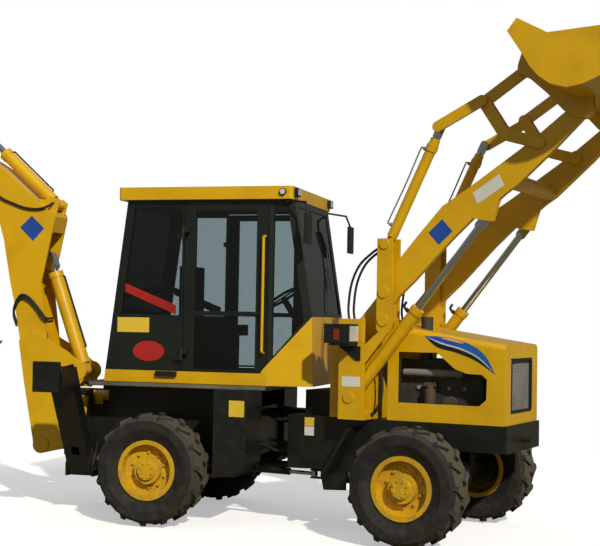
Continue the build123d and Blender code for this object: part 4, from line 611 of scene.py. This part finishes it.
# Oil pipes along the tilt cylinders, and long glands: the barrels' ends reach close up to the rods' eyes
cylinderY = 0.575
tiltLine = besideCylinder((1.322, 2.660), (1.816, 3.702))
tiltPipe = dict(path=[(0.175, 0.040), (0.175, 0.088), (0.215, 0.096), (0.560, 0.090), (0.885, 0.096),
                      (0.925, 0.088), (0.925, 0.045)],
                radius=0.008, ports=(0.175, 0.925), portLow=0.040, portHigh=0.072, portRadius=0.017)
tiltGland = dict(start=0.970, neck=1.046, radius=0.050, neckRadius=0.043)
pipes = Shapes()
glands = Shapes()
for side in bothSides:
    y = side * cylinderY
    pipes.tube([tiltLine(along, out, y) for along, out in tiltPipe["path"]], tiltPipe["radius"], 8, 5)
    for along in tiltPipe["ports"]:
        pipes.rod(tiltLine(along, tiltPipe["portLow"], y), tiltLine(along, tiltPipe["portHigh"], y),
                  tiltPipe["portRadius"], 8)
    glands.rod(tiltLine(tiltGland["start"], 0.0, y), tiltLine(tiltGland["neck"], 0.0, y),
               tiltGland["radius"], 20, tiltGland["neckRadius"])
pipes.make("tiltPipes", "bareSteel", "tilt_barrels", turn, slotName="rod_chrome")
glands.make("tiltGlands", "yellowPaint", "tilt_barrels", turn, slotName="yellow_paint")

# An elbow at the upper port of each lift cylinder
liftLine = besideCylinder((0.985, 1.262), (2.258, 2.895))
liftElbow = dict(port=0.960, portLow=0.050, portHigh=0.088, portRadius=0.020, radius=0.013,
                 path=[(0.960, 0.080), (0.961, 0.105), (0.975, 0.124), (1.015, 0.128)])
elbows = Shapes()
for side in bothSides:
    y = side * cylinderY
    elbows.rod(liftLine(liftElbow["port"], liftElbow["portLow"], y),
               liftLine(liftElbow["port"], liftElbow["portHigh"], y), liftElbow["portRadius"], 8)
    elbows.tube([liftLine(along, out, y) for along, out in liftElbow["path"]], liftElbow["radius"], 8, 5)
elbows.make("liftPipes", "hoseRubber", "lift_barrels", turn, slotName="dark_paint")

# Oil pipes along the two cylinders of the digging boom, on their lower sides
diggingPipes = [
    dict(name="boomPipes", body="boom_barrel", base=(-2.205, 1.392), tip=(-2.640, 2.590), barrel=0.074,
         start=0.230, end=1.020),
    dict(name="crowdPipes", body="boom", base=(-2.560, 3.118), tip=(-3.621, 4.067), barrel=0.066,
         start=0.150, end=0.790),
]
pipeLay = dict(sunk=0.010, proud=0.016, turnLength=0.012, straightFrom=0.08, radius=0.009)
for item in diggingPipes:
    line = besideCylinder(item["base"], item["tip"])
    sunk = -(item["barrel"] - pipeLay["sunk"])
    proud = -(item["barrel"] + pipeLay["proud"])
    start, end = item["start"], item["end"]
    shape = Shapes()
    shape.tube([line(start, sunk), line(start + pipeLay["turnLength"], proud),
                line(start + pipeLay["straightFrom"], proud), line(end - pipeLay["straightFrom"], proud),
                line(end - pipeLay["turnLength"], proud), line(end, sunk)], pipeLay["radius"], 8, 5)
    shape.make(item["name"], "hoseRubber", item["body"], slotName="dark_paint")

# Louvres on the sides of the tower housing
louvre = dict(rear=0.715, front=0.850, low=1.110, count=20, pitch=0.030, height=0.014,
              inner=0.4795, outer=0.487)
louvres = Shapes()
for side in bothSides:
    y0, y1 = span(side, louvre["inner"], louvre["outer"])
    for i in range(louvre["count"]):
        z = louvre["low"] + louvre["pitch"] * i
        louvres.box((louvre["rear"], y0, z), (louvre["front"], y1, z + louvre["height"]))
louvres.make("louvres", "yellowPaint", "front", turn, slotName="yellow_paint")

# Hoses from the valve block forward into the tower housing
valveHose = dict(count=5, low=1.095, pitch=0.040, radius=0.012,
                 path=[(0.600, 0.252, 0.0), (0.620, 0.285, 0.004), (0.665, 0.290, 0.020)],
                 endX=0.710, endY=0.215, endStep=0.012, endLift=0.030)
valveHoses = Shapes()
for side in bothSides:
    for i in range(valveHose["count"]):
        z = valveHose["low"] + valveHose["pitch"] * i
        path = [(x, side * y, z + lift) for x, y, lift in valveHose["path"]]
        path.append((valveHose["endX"], side * (valveHose["endY"] - valveHose["endStep"] * i),
                     z + valveHose["endLift"]))
        valveHoses.tube(path, valveHose["radius"], 8, 6)
valveHoses.make("valveHoses", "bareSteel", "front", turn, smooth=True, slotName="dark_paint")

# What shows of the engine through the side openings: manifold with its branches and bolts, filter, pulley
say("engine")
blockY = 0.246
manifold = dict(y=0.300, z=1.500, rear=1.380, front=1.960, radius=0.036, count=4, first=1.440, pitch=0.150,
                branchZ=1.470, branchRadius=0.026,
                boltShift=0.070, boltZ=1.360, boltY=0.268, boltRadius=0.020)
oilFilter = dict(x=1.640, y=0.310, low=1.180, shoulder=1.350, high=1.385, radius=0.052, neckRadius=0.034,
                 head=dict(half=0.055, outer=0.320, low=1.375, high=1.410))
pulley = dict(x=1.830, z=1.230, outer=0.330, radius=0.062)
for side, sideName in ((-1, "right"), (1, "left")):
    block = side * blockY
    out = side * manifold["y"]
    dress = Shapes()
    dress.rod((manifold["rear"], out, manifold["z"]), (manifold["front"], out, manifold["z"]),
              manifold["radius"], 16)
    for i in range(manifold["count"]):
        x = manifold["first"] + manifold["pitch"] * i
        dress.rod((x, block, manifold["branchZ"]), (x, out, manifold["z"]), manifold["branchRadius"])
        bolt = x + manifold["boltShift"]
        dress.rod((bolt, block, manifold["boltZ"]), (bolt, side * manifold["boltY"], manifold["boltZ"]),
                  manifold["boltRadius"], 8)
    dress.make("manifold_" + sideName, "bareSteel", "front", turn, slotName="engine_iron")
    can = side * oilFilter["y"]
    head = oilFilter["head"]
    y0, y1 = span(side, blockY, head["outer"])
    cans = Shapes()
    cans.rod((oilFilter["x"], can, oilFilter["low"]), (oilFilter["x"], can, oilFilter["shoulder"]),
             oilFilter["radius"], 20)
    cans.rod((oilFilter["x"], can, oilFilter["shoulder"]), (oilFilter["x"], can, oilFilter["high"]),
             oilFilter["neckRadius"], 16)
    cans.box((oilFilter["x"] - head["half"], y0, head["low"]),
             (oilFilter["x"] + head["half"], y1, head["high"]))
    cans.rod((pulley["x"], block, pulley["z"]), (pulley["x"], side * pulley["outer"], pulley["z"]),
             pulley["radius"], 20)
    cans.make("engineFilter_" + sideName, "rustyIron", "front", turn, slotName="engine_iron")

# Camera, solved from the photograph: place, angles in degrees, and focal length in pixels of the width
say("camera")
camera = dict(x=3.4831, y=-12.1321, z=1.9591, yaw=15.577, pitch=2.130, roll=1.0455,
              focal=1263.87, width=600.0, sensor=36.0)
yaw, pitch, roll = (math.radians(camera[key]) for key in ("yaw", "pitch", "roll"))
forward = Vector((-math.sin(yaw) * math.cos(pitch), math.cos(yaw) * math.cos(pitch), math.sin(pitch)))
levelRight = forward.cross(Vector((0, 0, 1))).normalized()
levelUp = levelRight.cross(forward)
right = levelRight * math.cos(roll) + levelUp * math.sin(roll)
up = levelUp * math.cos(roll) - levelRight * math.sin(roll)
cameraData = bpy.data.cameras.new("camera")
cameraData.sensor_width = camera["sensor"]
cameraData.lens = camera["focal"] * camera["sensor"] / camera["width"]
cameraObject = bpy.data.objects.new("camera", cameraData)
bpy.context.scene.collection.objects.link(cameraObject)
aim = Matrix((right, up, -forward)).transposed().to_4x4()
cameraObject.matrix_world = Matrix.Translation((camera["x"], camera["y"], camera["z"])) @ aim
bpy.context.scene.camera = cameraObject

# Light: a sun from the machine's front right, 34 degrees up, and a surround that is white to the camera
sunlight = dict(energy=3.0, softness=1.5, colour=(1.0, 0.95, 0.86), towards=(0.8, -1.05, 0.9))
sunData = bpy.data.lights.new("sun", "SUN")
sunData.energy = sunlight["energy"]
sunData.angle = math.radians(sunlight["softness"])
sunData.color = sunlight["colour"]
sun = bpy.data.objects.new("sun", sunData)
sun.rotation_euler = Vector(sunlight["towards"]).to_track_quat("Z", "Y").to_euler()
bpy.context.scene.collection.objects.link(sun)

surround = dict(ground="7C7458", sky="D2D8DA", strength=0.4, skyline=(0.3, -0.5))
world = bpy.data.worlds.new("surround")
bpy.context.scene.world = world
world.use_nodes = True
tree = world.node_tree
tree.nodes.clear()
view = node(tree, "ShaderNodeNewGeometry")
heights = node(tree, "ShaderNodeSeparateXYZ", {"Vector": view.outputs["Incoming"]})
ramp = node(tree, "ShaderNodeMapRange", {"Value": heights.outputs["Z"], "From Min": surround["skyline"][0],
                                         "From Max": surround["skyline"][1]})
tone = node(tree, "ShaderNodeMix", {"Factor": ramp.outputs["Result"], "A": colour(surround["ground"]),
                                    "B": colour(surround["sky"])}, data_type="RGBA")
lit = node(tree, "ShaderNodeBackground", {"Color": tone.outputs["Result"], "Strength": surround["strength"]})
seen = node(tree, "ShaderNodeBackground", {"Color": (1, 1, 1, 1), "Strength": 1.0})
ray = node(tree, "ShaderNodeLightPath")
choose = node(tree, "ShaderNodeMixShader", {"Fac": ray.outputs["Is Camera Ray"], 1: lit.outputs["Background"],
                                            2: seen.outputs["Background"]})
node(tree, "ShaderNodeOutputWorld", {"Surface": choose.outputs["Shader"]})
bpy.context.scene.view_settings.view_transform = "Standard"

# Plain pale floor: white to the camera where it is lit, dull ground to everything else, and fading out
floorLook = dict(half=14.0, fadeFrom=4.5, fadeTo=8.5, pale="F0F0EE", glow=0.42, ground="8A8266")
floorMesh = bpy.data.meshes.new("floor")
half = floorLook["half"]
floorMesh.from_pydata([(-half, -half, 0), (half, -half, 0), (half, half, 0), (-half, half, 0)], [],
                      [(0, 1, 2, 3)])
floor = bpy.data.objects.new("floor", floorMesh)
bpy.context.scene.collection.objects.link(floor)
floorPaint, tree = newMaterial("floorPale")
floorMesh.materials.append(floorPaint)
where = node(tree, "ShaderNodeTexCoord")
reach = node(tree, "ShaderNodeVectorMath", {0: where.outputs["Object"]}, operation="LENGTH")
fade = node(tree, "ShaderNodeMapRange", {"Value": reach.outputs["Value"], "From Min": floorLook["fadeFrom"],
                                         "From Max": floorLook["fadeTo"]})
pale = node(tree, "ShaderNodeBsdfDiffuse", {"Color": colour(floorLook["pale"])})
glow = node(tree, "ShaderNodeEmission", {"Strength": floorLook["glow"]})
white = node(tree, "ShaderNodeEmission", {"Strength": 1.0})
ground = node(tree, "ShaderNodeBsdfDiffuse", {"Color": colour(floorLook["ground"])})
bright = node(tree, "ShaderNodeAddShader", {0: pale.outputs["BSDF"], 1: glow.outputs["Emission"]})
faded = node(tree, "ShaderNodeMixShader", {"Fac": fade.outputs["Result"], 1: bright.outputs["Shader"],
                                           2: white.outputs["Emission"]})
ray = node(tree, "ShaderNodeLightPath")
shown = node(tree, "ShaderNodeMixShader", {"Fac": ray.outputs["Is Camera Ray"], 1: ground.outputs["BSDF"],
                                           2: faded.outputs["Shader"]})
node(tree, "ShaderNodeOutputMaterial", {"Surface": shown.outputs["Shader"]})

say("finish")
